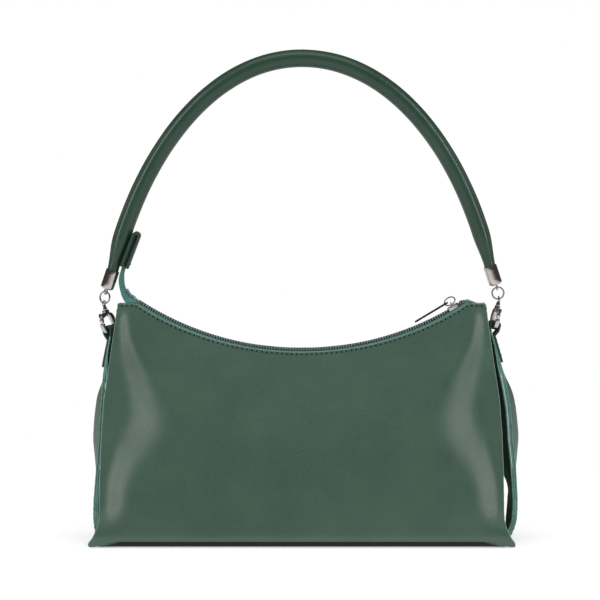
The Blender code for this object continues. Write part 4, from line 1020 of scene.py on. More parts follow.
def slab(name, outline, low, high, finish, matrix=None, along="Z"):
    """A flat outline of (across, up) points extruded between two levels of one axis."""
    place = {
        "Z": lambda across, up, level: (across, up, level),
        "Y": lambda across, up, level: (across, level, up),
        "X": lambda across, up, level: (level, across, up),
    }[along]
    mesh_data = bmesh.new()
    corners = [mesh_data.verts.new(place(across, up, low)) for across, up in outline]
    grown = bmesh.ops.extrude_face_region(mesh_data, geom=[mesh_data.faces.new(corners)])
    moved = [item for item in grown["geom"] if isinstance(item, bmesh.types.BMVert)]
    bmesh.ops.translate(mesh_data, verts=moved, vec=Vector(place(0.0, 0.0, high - low)))
    return add_solid(name, mesh_data, [finish], matrix)


def turned(name, profile, steps, finish, matrix=None):
    """A turned piece: (radius, height) points down its outer side, closed at the axis."""
    mesh_data = bmesh.new()
    rings = []
    for radius, height in profile:
        rings.append([
            mesh_data.verts.new((radius * math.cos(angle), radius * math.sin(angle), height))
            for angle in (circle_angles(steps) if radius else [0.0])])
    for upper, lower in zip(rings, rings[1:]):
        for step in range(steps):
            after = (step + 1) % steps
            corners = [upper[step % len(upper)], lower[step % len(lower)],
                       lower[after % len(lower)], upper[after % len(upper)]]
            mesh_data.faces.new(list(dict.fromkeys(corners)))
    return add_solid(name, mesh_data, [finish], matrix)


def hoop(name, radius, wire, finish, matrix=None, steps=72, sides=18):
    """A round wire ring about its own Z axis."""
    rings = []
    for angle in circle_angles(steps):
        out = Vector((math.cos(angle), math.sin(angle), 0.0))
        rings.append([
            out * (radius + wire * math.cos(turn)) + Vector((0, 0, wire * math.sin(turn)))
            for turn in circle_angles(sides)])
    mesh_data = bmesh.new()
    grid_faces(mesh_data, rings + [rings[0]], True)
    bmesh.ops.remove_doubles(mesh_data, verts=mesh_data.verts, dist=0.01 * MM)
    return add_solid(name, mesh_data, [finish], matrix)


def rod(name, radius, start, end, finish, matrix, steps=32):
    profile = [(0.0, end), (radius, end), (radius, start), (0.0, start)]
    return turned(name, profile, steps, finish, matrix)


def wire_rings(middle, radii, sides, normal_hint):
    """Rings of a wire along a route of points, with a radius at each."""
    rings = []
    for index, place in enumerate(middle):
        run = run_at(middle, index)
        aside = run.cross(normal_hint).normalized()
        lift = aside.cross(run)
        rings.append([
            place + (aside * math.cos(angle) + lift * math.sin(angle)) * radii[index]
            for angle in circle_angles(sides)])
    return rings


def add_wire(mesh_data, middle, radii, sides, normal_hint, finish=0):
    """Adds one closed wire with capped ends to a mesh."""
    rings = wire_rings(middle, radii, sides, normal_hint)
    add_tube(mesh_data, rings, lambda step, index: finish, finish)


def stitch_line(name, places, normals, finish):
    """A line of saddle stitches through evenly spaced holes on a surface, each hole a dark disc of
    painted shade.
    """
    mesh_data = bmesh.new()
    size = sizes()
    gap = (1.0 - size.stitch_length / size.stitch_pitch) / 2
    radii = [size.thread_radius * share for share in STITCH_RADIUS_SHARES]
    rim = [size.needle_hole * share for share in HOLE_RADIUS_SHARES]
    last_step = len(STITCH_LIFT_SHARES) - 1
    chance = random.Random(bpy.context.scene.bag_studio.stitch_seed + len(places))
    for start, end, normal in zip(places, places[1:], normals):
        shift = chance.uniform(-0.1, 0.1) * gap
        first = start.lerp(end, gap + shift)
        last = start.lerp(end, 1.0 - gap + shift)
        middle = [
            first.lerp(last, step / last_step) + normal * (lift * size.thread_radius)
            for step, lift in enumerate(STITCH_LIFT_SHARES)]
        add_wire(mesh_data, middle, radii, 8, (last - first).normalized().cross(normal))
    # Each needle hole is a near-black disc just proud of the surface: painted shade inside the
    # hole.
    for place, normal in zip(places, normals):
        hole = [place - normal * HOLE_SINK, place, place + normal * HOLE_RISE]
        add_wire(mesh_data, hole, rim, 10, normal.orthogonal(), 1)
    return add_solid(name, mesh_data, [finish, painted_black_shade()])


def wander(place, scale, depth):
    """A small smooth shift that depends on the place alone."""
    spot = place * scale
    return Vector([noise.noise(spot + Vector(offset)) for offset in WANDER_OFFSETS]) * depth


# The leather body.


def panel_softness(share, rise):
    """How far the front panel stands proud of its plain form, as soft leather does."""
    away = math.sin(math.pi * clamp(rise)) ** 0.7
    side = abs(share)
    corner = 1.2 * bump_at(side, 0.84, 0.2) * bump_at(rise, 0.14, 0.22)
    belly = 0.8 * bump_at(side, 0.0, 0.9) * bump_at(rise, 0.35, 0.4)
    spot = Vector((share * 2.1 + 5.0, rise * 1.7, 0.3))
    slack = 0.5 * noise.noise(spot) + 0.22 * noise.noise(spot * 2.7)
    return (corner + belly + slack) * MM * away


def edge_rise(share, rise, turned_round):
    """How much a panel's top edge stands above its plain line: the back one shows over the zip."""
    if turned_round:
        return BACK_EDGE_RISE * smooth_step((0.97 - abs(share)) / 0.09) * rise ** 6
    return FRONT_EDGE_RISE * smooth_step((1.02 - abs(share)) / 0.5) * rise ** 8


def soft_point(share, rise, turned_round):
    """A point on a panel's soft leather, with its raised top edge."""
    softness = panel_softness(-share if turned_round else share, rise)
    point = panel_point(share, rise, -softness)
    point.z += edge_rise(share, rise, turned_round)
    return point


def panel_grid(turned_round):
    """Rows of points over the front panel, from under the base to the top edge."""
    shares = spaced(-1.0, 1.0, PANEL_COLUMNS)
    fray = sizes().fray
    rows = [
        [hem_point(share, 1.0 - step / ROLL_ROWS) for share in shares]
        for step in range(ROLL_ROWS)]
    for rise in spaced(0.0, 1.0, PANEL_ROWS):
        rows.append([soft_point(share, rise, turned_round) for share in shares])
    for index, row in enumerate(rows):
        ragged = fray * (1.0 + 3.0 * smooth_step((index / len(rows) - 0.93) / 0.07))
        for end in (0, -1):
            row[end] = row[end] + wander(row[end], 700.0, ragged)
    rows[-1] = [point + wander(point, 500.0, fray * 0.6) for point in rows[-1]]
    return mirrored(rows) if turned_round else rows


class BAG_OT_panels(bpy.types.Operator):
    """Makes the front and back panels of soft leather with cut edges"""

    bl_idname = "baguette.panels"
    bl_label = "Front and back panels"

    def execute(self, context):
        finishes = [smooth_leather(), cut_leather(), raw_edge()]
        for side, turned_round in (("front", False), ("back", True)):
            rows = panel_grid(turned_round)
            panel = cut_sheet(side + "_panel_leather", rows, PANEL_LEATHER, finishes)
            dress(panel, "bag", "leather", side + "_panel")
        return {'FINISHED'}


def gusset_half_depth(height):
    """Half of the room between the panels at a gusset's height."""
    if height < BASE_ROLL_RADIUS:
        inner_roll = BASE_ROLL_RADIUS - PANEL_LEATHER_ACROSS
        drop = BASE_ROLL_RADIUS - height
        rolled = math.sqrt(max(0.0, inner_roll ** 2 - drop ** 2))
        return BASE_HALF_DEPTH - BASE_ROLL_RADIUS + rolled
    return half_depth(1.0, height, CORNER_HEIGHT) - PANEL_LEATHER_ACROSS


def gusset_rows():
    """Rows of the right gusset, from the base up, each from front to back."""
    rows = []
    for rise in spaced(0.0, 1.0, GUSSET_ROWS):
        height = mix(BASE_LEATHER + SEAT_GAP, CORNER_HEIGHT - GUSSET_TOP_DROP, rise)
        edge = side_edge(height) - GUSSET_INSET
        half = gusset_half_depth(height) - GUSSET_LEATHER - SEAT_GAP
        fold = (edge - GUSSET_FOOT_REACH + GUSSET_INSET) * (1.0 - smooth_step(rise * 3))
        fold += GUSSET_TOP_FOLD * smooth_step(rise) ** 0.8
        row = []
        for across in spaced(-1.0, 1.0, GUSSET_COLUMNS):
            inward = fold * (1.0 - abs(across) ** 1.35)
            slack = noise.noise(Vector((across * 1.4, rise * 3.0, 7.0)))
            inward += 0.5 * MM * slack * (1.0 - across ** 2) * math.sin(math.pi * rise)
            row.append(Vector((edge - inward, half * across, height)))
        rows.append(row)
    return rows


class BAG_OT_gussets(bpy.types.Operator):
    """Makes the two gussets, folded inward like bellows"""

    bl_idname = "baguette.gussets"
    bl_label = "Gussets"

    def execute(self, context):
        rows = gusset_rows()
        finishes = [smooth_leather(), raw_edge()]
        for side, grid in (("right", rows), ("left", mirrored(rows))):
            gusset = cut_sheet(
                side + "_gusset_leather", grid, GUSSET_LEATHER, finishes, edge=0.2 * MM)
            dress(gusset, "bag", "leather", side + "_gusset")
        return {'FINISHED'}


def base_rows():
    """Rows of the base from front to back: flat, its long sides turned up into the seams."""
    rows = []
    rim = BASE_HALF_DEPTH - PANEL_LEATHER * 2
    flat = (BASE_HALF_DEPTH - BASE_ROLL_RADIUS) * 0.97
    for across in spaced(-1.0, 1.0, BASE_ROWS):
        depth = math.copysign(abs(across) ** 0.55, across) * rim
        turn = clamp((abs(depth) - flat) / (rim - flat))
        half = mix(BASE_PANEL_HALF_LENGTH, BODY_HALF_LENGTH, turn)
        row = []
        for share in spaced(1.0, -1.0, BASE_COLUMNS):
            lift = (seam_height(share) + PANEL_LEATHER * 0.5) * turn ** 1.6
            row.append(Vector((share * half, depth, lift)))
        rows.append(row)
    return rows


class BAG_OT_base(bpy.types.Operator):
    """Makes the base of leather, turned up into its seams, and finishes the board above it"""

    bl_idname = "baguette.base"
    bl_label = "Base"

    def execute(self, context):
        finishes = [base_leather_in_painted_shade(), raw_edge()]
        panel = cut_sheet("base_panel_leather", base_rows(), BASE_LEATHER, finishes)
        dress(panel, "bag", "leather", "base_panel")
        finish_node("base_board", board_fibre())
        return {'FINISHED'}


def finish_node(node, finish):
    """Gives a frame piece that stays in view its own finish."""
    kept = frame["nodes"][node]
    if not kept.material_slots:
        kept.data.materials.append(finish)
    for slot in kept.material_slots:
        slot.material = finish


def lining_reach(height):
    """How far the lining runs sideways at a height, inside the gussets' folds."""
    fold = GUSSET_TOP_FOLD * smooth_step(height / CORNER_HEIGHT) ** 0.8
    return side_edge(max(height, EAR_HEIGHT)) - fold - LINING_END_MARGIN


def lining_ring(rise):
    """One closed ring round the lining's inner face, rise 0 at its floor and 1 at its mouth."""
    back = []
    reach = lining_reach(mix(LINING_FOOT, CORNER_HEIGHT - LINING_DROP, rise))
    for share in spaced(-1.0, 1.0, LINING_COLUMNS):
        height = mix(LINING_FOOT, top_edge(share * reach) - LINING_DROP, rise)
        panel_share = share * reach / side_edge(height)
        depth = half_depth(panel_share, height, top_edge(panel_share * TOP_HALF_LENGTH))
        depth -= BASE_ROLL_RADIUS * max(0.0, 1.0 - height / BASE_ROLL_RADIUS) ** 2
        depth -= PANEL_LEATHER_ACROSS + TAPE_THICKNESS + LINING_THICKNESS + 2 * SEAT_GAP
        slack = noise.noise(Vector((share * 4.0, rise * 3.0, 2.0))) * math.sin(math.pi * rise)
        depth -= LINING_SAG * (0.5 + 0.5 * slack) * math.sin(math.pi * rise)
        back.append(Vector((share * reach, depth, height)))
    return back + on_back(back)


def make_lining():
    """The cloth lining, open at its mouth, with a floor across its lowest ring."""
    mesh_data = bmesh.new()
    rings = [
        [mesh_data.verts.new(point) for point in lining_ring(rise)]
        for rise in spaced(0.0, 1.0, LINING_LEVELS)]
    count = len(rings[0])
    for lower, upper in zip(rings, rings[1:]):
        for index in range(count):
            after = (index + 1) % count
            mesh_data.faces.new((lower[index], upper[index], upper[after], lower[after]))
    floor = rings[0]
    for index in range(count // 2 - 1):
        facing = count - 1 - index
        corners = (floor[index], floor[index + 1], floor[facing - 1], floor[facing])
        mesh_data.faces.new(corners)
    lining = add_solid("cloth_lining", mesh_data, [lining_cloth()])
    thicken(lining, LINING_THICKNESS, 1.0)
    return lining


def make_pocket():
    """The slip pocket on the back of the lining."""
    rows = []
    for rise in spaced(0.0, 1.0, POCKET_ROWS):
        height = POCKET_FOOT + POCKET_HEIGHT * rise
        row = []
        for step in range(POCKET_COLUMNS + 1):
            across = mix(POCKET_LENGTH, -POCKET_LENGTH, step / POCKET_COLUMNS) / 2
            depth = half_depth(across / side_edge(height), height, top_edge(across))
            depth -= PANEL_LEATHER_ACROSS + TAPE_THICKNESS + LINING_THICKNESS + 4 * SEAT_GAP
            depth -= POCKET_SAG * math.sin(math.pi * step / POCKET_COLUMNS) * rise
            row.append(Vector((across, depth - POCKET_THICKNESS, height)))
        rows.append(row)
    return cut_sheet("cloth_pocket", rows, POCKET_THICKNESS, [lining_cloth()], edge=0.2 * MM)


class BAG_OT_lining(bpy.types.Operator):
    """Makes the cloth lining and the slip pocket inside the back"""

    bl_idname = "baguette.lining"
    bl_label = "Lining and pocket"

    def execute(self, context):
        dress(make_lining(), "bag", "lining_cloth", "lining")
        dress(make_pocket(), "bag", "lining_cloth", "slip_pocket")
        return {'FINISHED'}


# The zip.


def tape_section(angle):
    """The tape's section at an angle: offsets from the middle and lifts, outside to inside."""
    share = DIP_RADIUS * math.sin(angle) / TOP_HALF_LENGTH
    inner = mix(TOP_HALF_DEPTH, TOP_CORNER_HALF_DEPTH, share ** 2)
    inner = inner - PANEL_LEATHER - SEAT_GAP - TAPE_THICKNESS
    slope = (BASE_HALF_DEPTH - TOP_HALF_DEPTH) / CORNER_HEIGHT
    corners = (
        (inner + TAPE_SEWN_DEPTH * slope, -TAPE_SEWN_DEPTH),
        (inner, -TAPE_THICKNESS),
        (min(inner, TAPE_FLAT_HALF_WIDTH + TAPE_THICKNESS), TAPE_LIE - TAPE_THICKNESS),
        (TAPE_FLAT_HALF_WIDTH, TAPE_LIE),
        (TAPE_SLIT_HALF, TAPE_LIE),
    )
    steps = (3, 3, 2, 5)
    section = []
    for start, end, count in zip(corners, corners[1:], steps):
        for step in range(count):
            done = step / count
            section.append((mix(start[0], end[0], done), mix(start[1], end[1], done)))
    return section + [corners[-1]]


def tape_rows():
    angles = spaced(-ZIP_HALF_ANGLE, ZIP_HALF_ANGLE, TAPE_COLUMNS)
    sections = [tape_section(angle) for angle in angles]
    return [
        [zip_point(angle, -section[level][0], section[level][1])
         for angle, section in zip(angles, sections)]
        for level in range(len(sections[0]))]


# One turn of the coil, from its root over the top to the head and back: (offset, lift) shares
# of the teeth's half width and thickness, and the wire's thickness there.
COIL_TURN_SHARES = (
    ((0.93, 0.08), 1.0), ((0.9, 0.6), 1.0), ((0.64, 0.8), 1.0), ((0.38, 0.8), 1.1),
    ((0.27, 0.6), 1.1), ((0.27, 0.4), 1.1), ((0.4, 0.26), 1.1), ((0.62, 0.22), 1.0))


def add_tooth(mesh_data, place, side, wire):
    """One turn of the coil on a frame whose X runs along the zip and Z points off the tape."""
    middle = []
    radii = []
    for (offset, lift), thick in COIL_TURN_SHARES:
        middle.append(place @ Vector((0.0, side * offset * TEETH_OUTER, lift * TEETH_RISE)))
        radii.append(wire * thick)
    add_wire(mesh_data, middle, radii, 6, place.to_3x3() @ Vector((1, 0, 0)))


def coil_row(name, side):
    """One row of the coil, with its sewing thread on top and the filler cord inside it."""
    mesh_data = bmesh.new()
    size = sizes()
    count = round(2 * ZIP_HALF_ANGLE * (DIP_RADIUS - TEETH_TOP) / size.coil_pitch)
    shift = 0.25 if side < 0 else 0.75
    for index in range(count):
        angle = -ZIP_HALF_ANGLE + 2 * ZIP_HALF_ANGLE / count * (index + shift)
        add_tooth(mesh_data, zip_frame(angle, TEETH_FOOT), side, size.coil_wire)
    thread = []
    cord = []
    for index, angle in enumerate(spaced(-ZIP_HALF_ANGLE, ZIP_HALF_ANGLE, count * 4)):
        ripple = COIL_THREAD_RIPPLE * math.cos(2 * math.pi * (index / 4 - shift))
        lift = TEETH_TOP - COIL_THREAD_SINK + ripple
        thread.append(zip_point(angle, side * TEETH_OUTER * COIL_THREAD_SHARE, lift))
        lift = TEETH_FOOT + TEETH_RISE * COIL_CORD_RISE_SHARE
        cord.append(zip_point(angle, side * TEETH_OUTER * COIL_CORD_SHARE, lift))
    # The thread and cord are real parts of the coil, but they take the near-black painted shade, so
    # the gaps between the coil's turns read dark.
    for route, radius, sides in ((thread, COIL_THREAD_RADIUS, 6), (cord, COIL_CORD_RADIUS, 8)):
        add_wire(mesh_data, route, [radius] * len(route), sides, Vector((0, 1, 0)), 1)
    return add_solid(name, mesh_data, [coil_nylon(), painted_black_shade()])


def edge_stitches(name, turned_round):
    """The line of stitches along a panel's top edge, which holds the zip tape."""
    size = sizes()
    fine = []
    reach = TOP_HALF_LENGTH * 0.975
    for across in spaced(-reach, reach, EDGE_STITCH_STEPS):
        rise = 1.0 - size.stitch_drop / (top_edge(across) - BASE_ROLL_RADIUS)
        fine.append(soft_point(across / TOP_HALF_LENGTH, rise, turned_round))
    places = even_points(fine, round(lengths_along(fine)[-1] / size.stitch_pitch) + 1)
    down = Vector((0, -0.24, -0.97))
    normals = [down.cross(run_at(places, index)).normalized() for index in range(len(places))]
    normals = [normal if normal.y < 0 else -normal for normal in normals]
    if turned_round:
        places, normals = on_back(places), on_back(normals)
    return dress(stitch_line(name, places, normals, waxed_thread()), "bag", "leather")


class BAG_OT_zip(bpy.types.Operator):
    """Makes the zip tapes, both rows of the coil, the stop and the stitches along the edges"""

    bl_idname = "baguette.zip"
    bl_label = "Zip"

    def execute(self, context):
        front = tape_rows()
        for side, rows in (("front", front), ("back", mirrored(front))):
            tape = cut_sheet(
                side + "_zip_tape_cloth", rows, TAPE_THICKNESS, [zip_tape_cloth()],
                edge=0.12 * MM)
            dress(tape, "bag", "zip_tape", side + "_zip_tape")
        for side, sign in (("front", -1), ("back", 1)):
            dress(coil_row(side + "_zip_coil", sign), "bag", "zip_teeth", side + "_zip_teeth")
        place = zip_frame(ZIP_HALF_ANGLE - STOP_LENGTH / DIP_RADIUS, 0.0)
        low = TEETH_TOP + FINE_GAP
        outline = round_rectangle(STOP_LENGTH / 2, TEETH_OUTER, STOP_WALL)
        stop = slab("zip_end_stop", outline, low, low + STOP_WALL, nickel(), place)
        dress(soften(stop, 0.18 * MM), "bag", "nickel", "zip_top_stop")
        edge_stitches("front_edge_stitches", False)
        edge_stitches("back_edge_stitches", True)
        return {'FINISHED'}


def tail_route():
    tangent = zip_frame(-ZIP_HALF_ANGLE, 0.0).col[0].to_3d()
    start = zip_point(-ZIP_HALF_ANGLE, 0.0, TAPE_LIE) - tangent * SEAT_GAP
    bends = [
        start + Vector((-TAIL_BULGE * bulge, 0.0, TAIL_RISE * rise))
        for bulge, rise in TAIL_ROUTE_SHARES]
    return smooth_route(bends, TAIL_STATIONS)


def tail_depth(share):
    """How deep the tail is folded at a share of its length."""
    depth = mix(TAIL_FOOT_DEPTH, TAIL_FOLD_DEPTH, smooth_step(share / 0.3))
    depth = mix(depth, TAIL_END_FOLD_DEPTH, smooth_step((share - 0.35) / 0.15))
    return depth * smooth_step(share * 8.0)


def tail_shift(depth):
    """How far the tail's foot reaches out past its fold, over the corner of the panels."""
    return max(0.0, depth - TAIL_FOLD_DEPTH) * TAIL_SHIFT_SHARE


def make_tail(route):
    """The zip's free tail, folded along its middle, with the fold facing the handle's arch."""
    rows = []
    for index, point in enumerate(route):
        outward = left_of(run_at(route, index))
        depth = tail_depth(index / len(route))
        tuck = mix(1.0, 0.75, index / (len(route) - 1))
        row = []
        for share in spaced(-1.0, 1.0, TAIL_COLUMNS):
            fold = 0.6 - math.sqrt(share ** 2 + 0.02)
            place = point + outward * (tail_shift(depth) - depth * fold)
            place.y = share * TAIL_HALF_WIDTH * tuck
            if abs(share) == 1.0:
                place += wander(place, 900.0, 0.15 * MM)
            row.append(place)
        rows.append(row)
    return cut_sheet("zip_tail_cloth", rows, TAPE_THICKNESS, [zip_tape_cloth()], edge=0.1 * MM)


def tail_coil(route):
    """The coil along the tail's fold, on its inner side."""
    mesh_data = bmesh.new()
    size = sizes()
    length = lengths_along(route)[-1]
    fine = even_points(route, 400)
    for side, shift in ((-1, 0.75), (1, 0.25)):
        for index in range(round(length * TAIL_COIL_LENGTH_SHARE / size.coil_pitch)):
            share = (index + shift) * size.coil_pitch / length
            slot = round(share * (len(fine) - 1))
            ahead = run_at(fine, slot)
            outward = left_of(ahead)
            depth = tail_depth(share)
            start = fine[slot] + outward * (tail_shift(depth) - depth * TAIL_COIL_SEAT_SHARE)
            place = frame_matrix(start, ahead, ahead.cross(outward), -outward)
            add_tooth(mesh_data, place, side, size.coil_wire)
    return add_solid("zip_tail_coil", mesh_data, [coil_nylon()])


def make_tab(route):
    """The leather tab folded over the tail's end, with its two leaves hanging down."""
    top = route[-1]
    rise = (route[-1] - route[-9]).normalized()
    outward = left_of(rise)
    spread = TAIL_END_FOLD_DEPTH / 2 - 0.2 * MM + TAB_LEATHER / 2
    crown = top - rise * (TAIL_END_FOLD_DEPTH * 0.4)
    leaf = 20
    stations = [(spread, -TAB_LENGTH * (1 - step / leaf)) for step in range(leaf)]
    bend = arc_points((0.0, 0.0), spread, 0.0, math.pi, 17)
    stations += [(across, up * 0.8) for across, up in bend]
    stations += [(-spread, -TAB_LENGTH * (step + 1) / leaf) for step in range(leaf)]
    rows = []
    for index, (across, up) in enumerate(stations):
        before = stations[max(index - 1, 0)]
        after = stations[min(index + 1, len(stations) - 1)]
        run = Vector((after[0] - before[0], after[1] - before[1])).normalized()
        side = Vector((run.y, -run.x))
        flat = Vector((across, up)) + side * (0.5 * TAB_LEATHER)
        row = []
        for share in spaced(-1.0, 1.0, TAB_COLUMNS):
            place = crown + outward * flat.x + rise * flat.y
            place.y = share * TAB_HALF_WIDTH
            if abs(share) == 1.0 or index in (0, len(stations) - 1):
                place += wander(place, 600.0, 0.25 * MM)
            row.append(place)
        rows.append(row)
    tab = cut_sheet("zip_tab_leather", [list(reversed(row)) for row in rows], TAB_LEATHER,
                    [strap_leather(), dark_cut()])
    places = []
    normals = []
    for step in range(5):
        share = mix(-0.8, 0.8, step / 4)
        place = crown + outward * (-spread - TAB_LEATHER / 2) - rise * (TAB_LENGTH * 0.86)
        place.y = share * TAB_HALF_WIDTH
        places.append(place)
        normals.append(-outward)
    stitches = stitch_line("tab_stitches", places, normals, waxed_thread())
    return tab, stitches


class BAG_OT_tail(bpy.types.Operator):
    """Makes the zip's free tail with the end of the coil, and its leather tab"""

    bl_idname = "baguette.tail"
    bl_label = "Zip tail and tab"

    def execute(self, context):
        route = tail_route()
        dress(make_tail(route), "bag", "zip_tape", "zip_tail")
        dress(tail_coil(route), "bag", "zip_teeth")
        tab, stitches = make_tab(route)
        dress(tab, "bag", "leather", "zip_end_tab")
        dress(stitches, "bag", "leather")
        return {'FINISHED'}


# The slider and its pull.


def slider_section():
    """The slider seen along the zip: two plates, a thin post and flanges over the teeth."""
    wide = SLIDER_HALF_WIDTH
    inner = wide - SLIDER_FLANGE
    post = SLIDER_POST_HALF
    lip = TAPE_LIE + SEAT_GAP
    half = [
        (0.0, SLIDER_TOP), (wide - SLIDER_FLANGE, SLIDER_TOP), (wide, SLIDER_TOP - SLIDER_FLANGE),
        (wide, lip), (inner, lip), (inner, SLIDER_ROOF), (post, SLIDER_ROOF), (post, SLIDER_FLOOR),
        (inner, SLIDER_FLOOR), (inner, SLIDER_FLOOR - SLIDER_PLATE),
        (0.0, SLIDER_FLOOR - SLIDER_PLATE),
    ]
    return half + [(-across, up) for across, up in reversed(half[1:-1])]


def slider_plan():
    """The slider from above: a blunt shield, wider at the mouth."""
    half = SLIDER_LENGTH / 2
    waist = SLIDER_HALF_WIDTH * 0.78
    nose = SLIDER_HALF_WIDTH * 0.55
    side = [(half, nose), (half * 0.7, SLIDER_HALF_WIDTH), (0.0, SLIDER_HALF_WIDTH + CUT_OVERRUN),
            (-half * 0.4, SLIDER_HALF_WIDTH), (-half, waist)]
    return side + [(across, -up) for across, up in reversed(side)]


def bridge_arch(place):
    """The arch of wire on the slider that carries the pull's ring."""
    crown = BRIDGE_HOLE_LIFT + PULL_RING_WIRE + SEAT_GAP + BRIDGE_WIRE_RADIUS
    foot = SLIDER_TOP - BRIDGE_WIRE_RADIUS / 2
    middle = []
    count = 25
    for step in range(count):
        angle = math.pi * step / (count - 1)
        lift = foot + (crown - foot) * math.sin(angle) ** 0.7
        middle.append(Vector((0.0, -BRIDGE_HALF_SPAN * math.cos(angle), lift)))
    rings = wire_rings(middle, [BRIDGE_WIRE_RADIUS] * count, 16, Vector((1, 0, 0)))
    return loft("bridge", rings, [nickel()], matrix=place)


def pull_outline():
    back = PULL_HOLE_LENGTH / 2 + PULL_END_MARGIN
    half = PULL_WIDTH / 2
    round_end = half * 0.55
    outline = [(-back, -half * 0.7), (-back, half * 0.7), (-back + round_end / 2, half)]
    far = PULL_LENGTH - back - round_end
    outline += arc_points((far, half - round_end), round_end, math.pi / 2, 0.0, 10)
    outline += arc_points((far, round_end - half), round_end, 0.0, -math.pi / 2, 10)
    return outline + [(-back + round_end / 2, -half)]


class BAG_OT_pull(bpy.types.Operator):
    """Makes the slider, its bridge, the pull's ring and the flat pull"""

    bl_idname = "baguette.pull"
    bl_label = "Slider and pull"

    def execute(self, context):
        place = zip_frame(SLIDER_ANGLE, 0.0)
        half = SLIDER_LENGTH / 2
        body = slab("zip_slider", slider_section(), -half, half, nickel(), place, along="X")
        cutter = slab("plan", slider_plan(), SLIDER_FLOOR - SLIDER_PLATE - CUT_OVERRUN,
                      SLIDER_TOP + CUT_OVERRUN, nickel(), place)
        combine(body, cutter, 'INTERSECT')
        soften(body, 0.16 * MM, 3)
        settle(body)
        combine(body, bridge_arch(place), 'UNION')
        dress(body, "slider", "nickel", "slider_body")

        hole = zip_frame(SLIDER_ANGLE, BRIDGE_HOLE_LIFT)
        lean = hole @ Matrix.Rotation(-PULL_RING_TILT, 4, 'X')
        centre = lean @ Matrix.Translation((0.0, 0.0, PULL_RING_RADIUS))
        ring = hoop("pull_wire_ring", PULL_RING_RADIUS, PULL_RING_WIRE, nickel(),
                    centre @ Matrix.Rotation(math.pi / 2, 4, 'X'), 64, 14)
        dress(ring, "pull_ring", "nickel", "pull_ring")

        down = Vector((-math.cos(PULL_DIP_ANGLE), 0.0, -math.sin(PULL_DIP_ANGLE)))
        start = centre.translation + (centre.to_3x3() @ Vector((-1, 0, 0))) * PULL_RING_RADIUS
        side = Vector((0, 1, 0))
        spot = frame_matrix(start, down, side, down.cross(side))
        low = -PULL_THICKNESS / 2
        plate = slab("flat_pull", pull_outline(), low, -low, dark_nickel(), spot)
        hole = round_rectangle(PULL_HOLE_LENGTH / 2, PULL_HOLE_WIDTH / 2, PULL_HOLE_LENGTH * 0.3)
        cutter = slab("pull_hole", hole, low - CUT_OVERRUN, -low + CUT_OVERRUN, dark_nickel(), spot)
        combine(plate, cutter, 'DIFFERENCE')
        dress(soften(plate, 0.22 * MM, 3), "pull_plate", "dark_nickel", "pull_plate")
        return {'FINISHED'}


# Handle hardware.


class Suspension:
    """Places and directions of one side's clasp, ring and ferrule."""

    def __init__(self, side, hook, foot, crown, clasp_yaw, ring_yaw):
        self.side = side
        self.sign = 1.0 if side == "right" else -1.0
        self.hook = hook
        self.foot = foot
        self.crown = crown
        self.up = (foot - hook).normalized()
        turn = Matrix.Rotation(clasp_yaw, 3, self.up)
        self.through = turn @ Vector((self.up.z, 0.0, -self.up.x))
        self.across = self.through.cross(self.up)
        self.rise = (crown - foot).normalized()
        self.ring_axis = Matrix.Rotation(ring_yaw, 3, self.rise) @ Vector((0, 1, 0))
        self.wire_way = self.ring_axis.cross(self.rise)

    def clasp_frame(self):
        return frame_matrix(self.hook, self.across, self.through, self.up)

    def ring_frame(self):
        centre = (self.foot + self.crown) / 2
        return frame_matrix(centre, self.wire_way, self.rise, self.wire_way.cross(self.rise))

    def eye_frame(self, place):
        """A frame whose Z runs along the ring's wire, through an eye."""
        return frame_matrix(place, self.ring_axis, self.rise, self.ring_axis.cross(self.rise))

    def leg_up(self):
        return Vector((-self.sign * math.sin(HANDLE_LEAN), 0.0, math.cos(HANDLE_LEAN)))

    def handle_end(self):
        bore_foot = EYE_STANDOFF + FERRULE_LENGTH - FERRULE_BORE_DEPTH
        return self.crown + self.leg_up() * (bore_foot + SEAT_GAP)


def on_line(start, across):
    """The point of a sloping line through start at another place across the bag."""
    return Vector((across, 0.0, start.z + PIVOT_LINE_SLOPE * (across - start.x)))


def lean_to_line(base, reach, line_point, outward):
    """The point at a reach above base, leaning to one side, that lies on a sloping line."""
    lean = 0.0
    for _ in range(24):
        place = base + Vector((outward * reach * math.sin(lean), 0.0, reach * math.cos(lean)))
        wanted = on_line(line_point, place.x).z
        lean = math.acos(min(1.0, (wanted - base.z) / reach))
    return base + Vector((outward * reach * math.sin(lean), 0.0, reach * math.cos(lean)))


def make_suspensions():
    hook = Vector((RIGHT_HOOK_ACROSS, 0.0, RIGHT_HOOK_HEIGHT))
    lean = Vector((math.sin(RIGHT_CLASP_LEAN), 0.0, math.cos(RIGHT_CLASP_LEAN)))
    foot = hook + lean * CLASP_REACH
    inward = foot.x - RIGHT_FERRULE_ACROSS
    span = 2 * RING_RADIUS
    crown = foot + Vector((-inward, 0.0, math.sqrt(span ** 2 - inward ** 2)))
    right = Suspension("right", hook, foot, crown, RIGHT_CLASP_YAW, RIGHT_RING_YAW)
    left_hook = on_line(hook, -LEFT_HOOK_ACROSS)
    left_foot = lean_to_line(left_hook, CLASP_REACH, foot, -1.0)
    left_crown = lean_to_line(left_foot, span, crown, 1.0)
    left = Suspension("left", left_hook, left_foot, left_crown, LEFT_CLASP_YAW, LEFT_RING_YAW)
    return right, left


HOLE_SHOULDER_HEIGHT = CLASP_HOLE_TOP - CLASP_HOLE_TOP_RADIUS


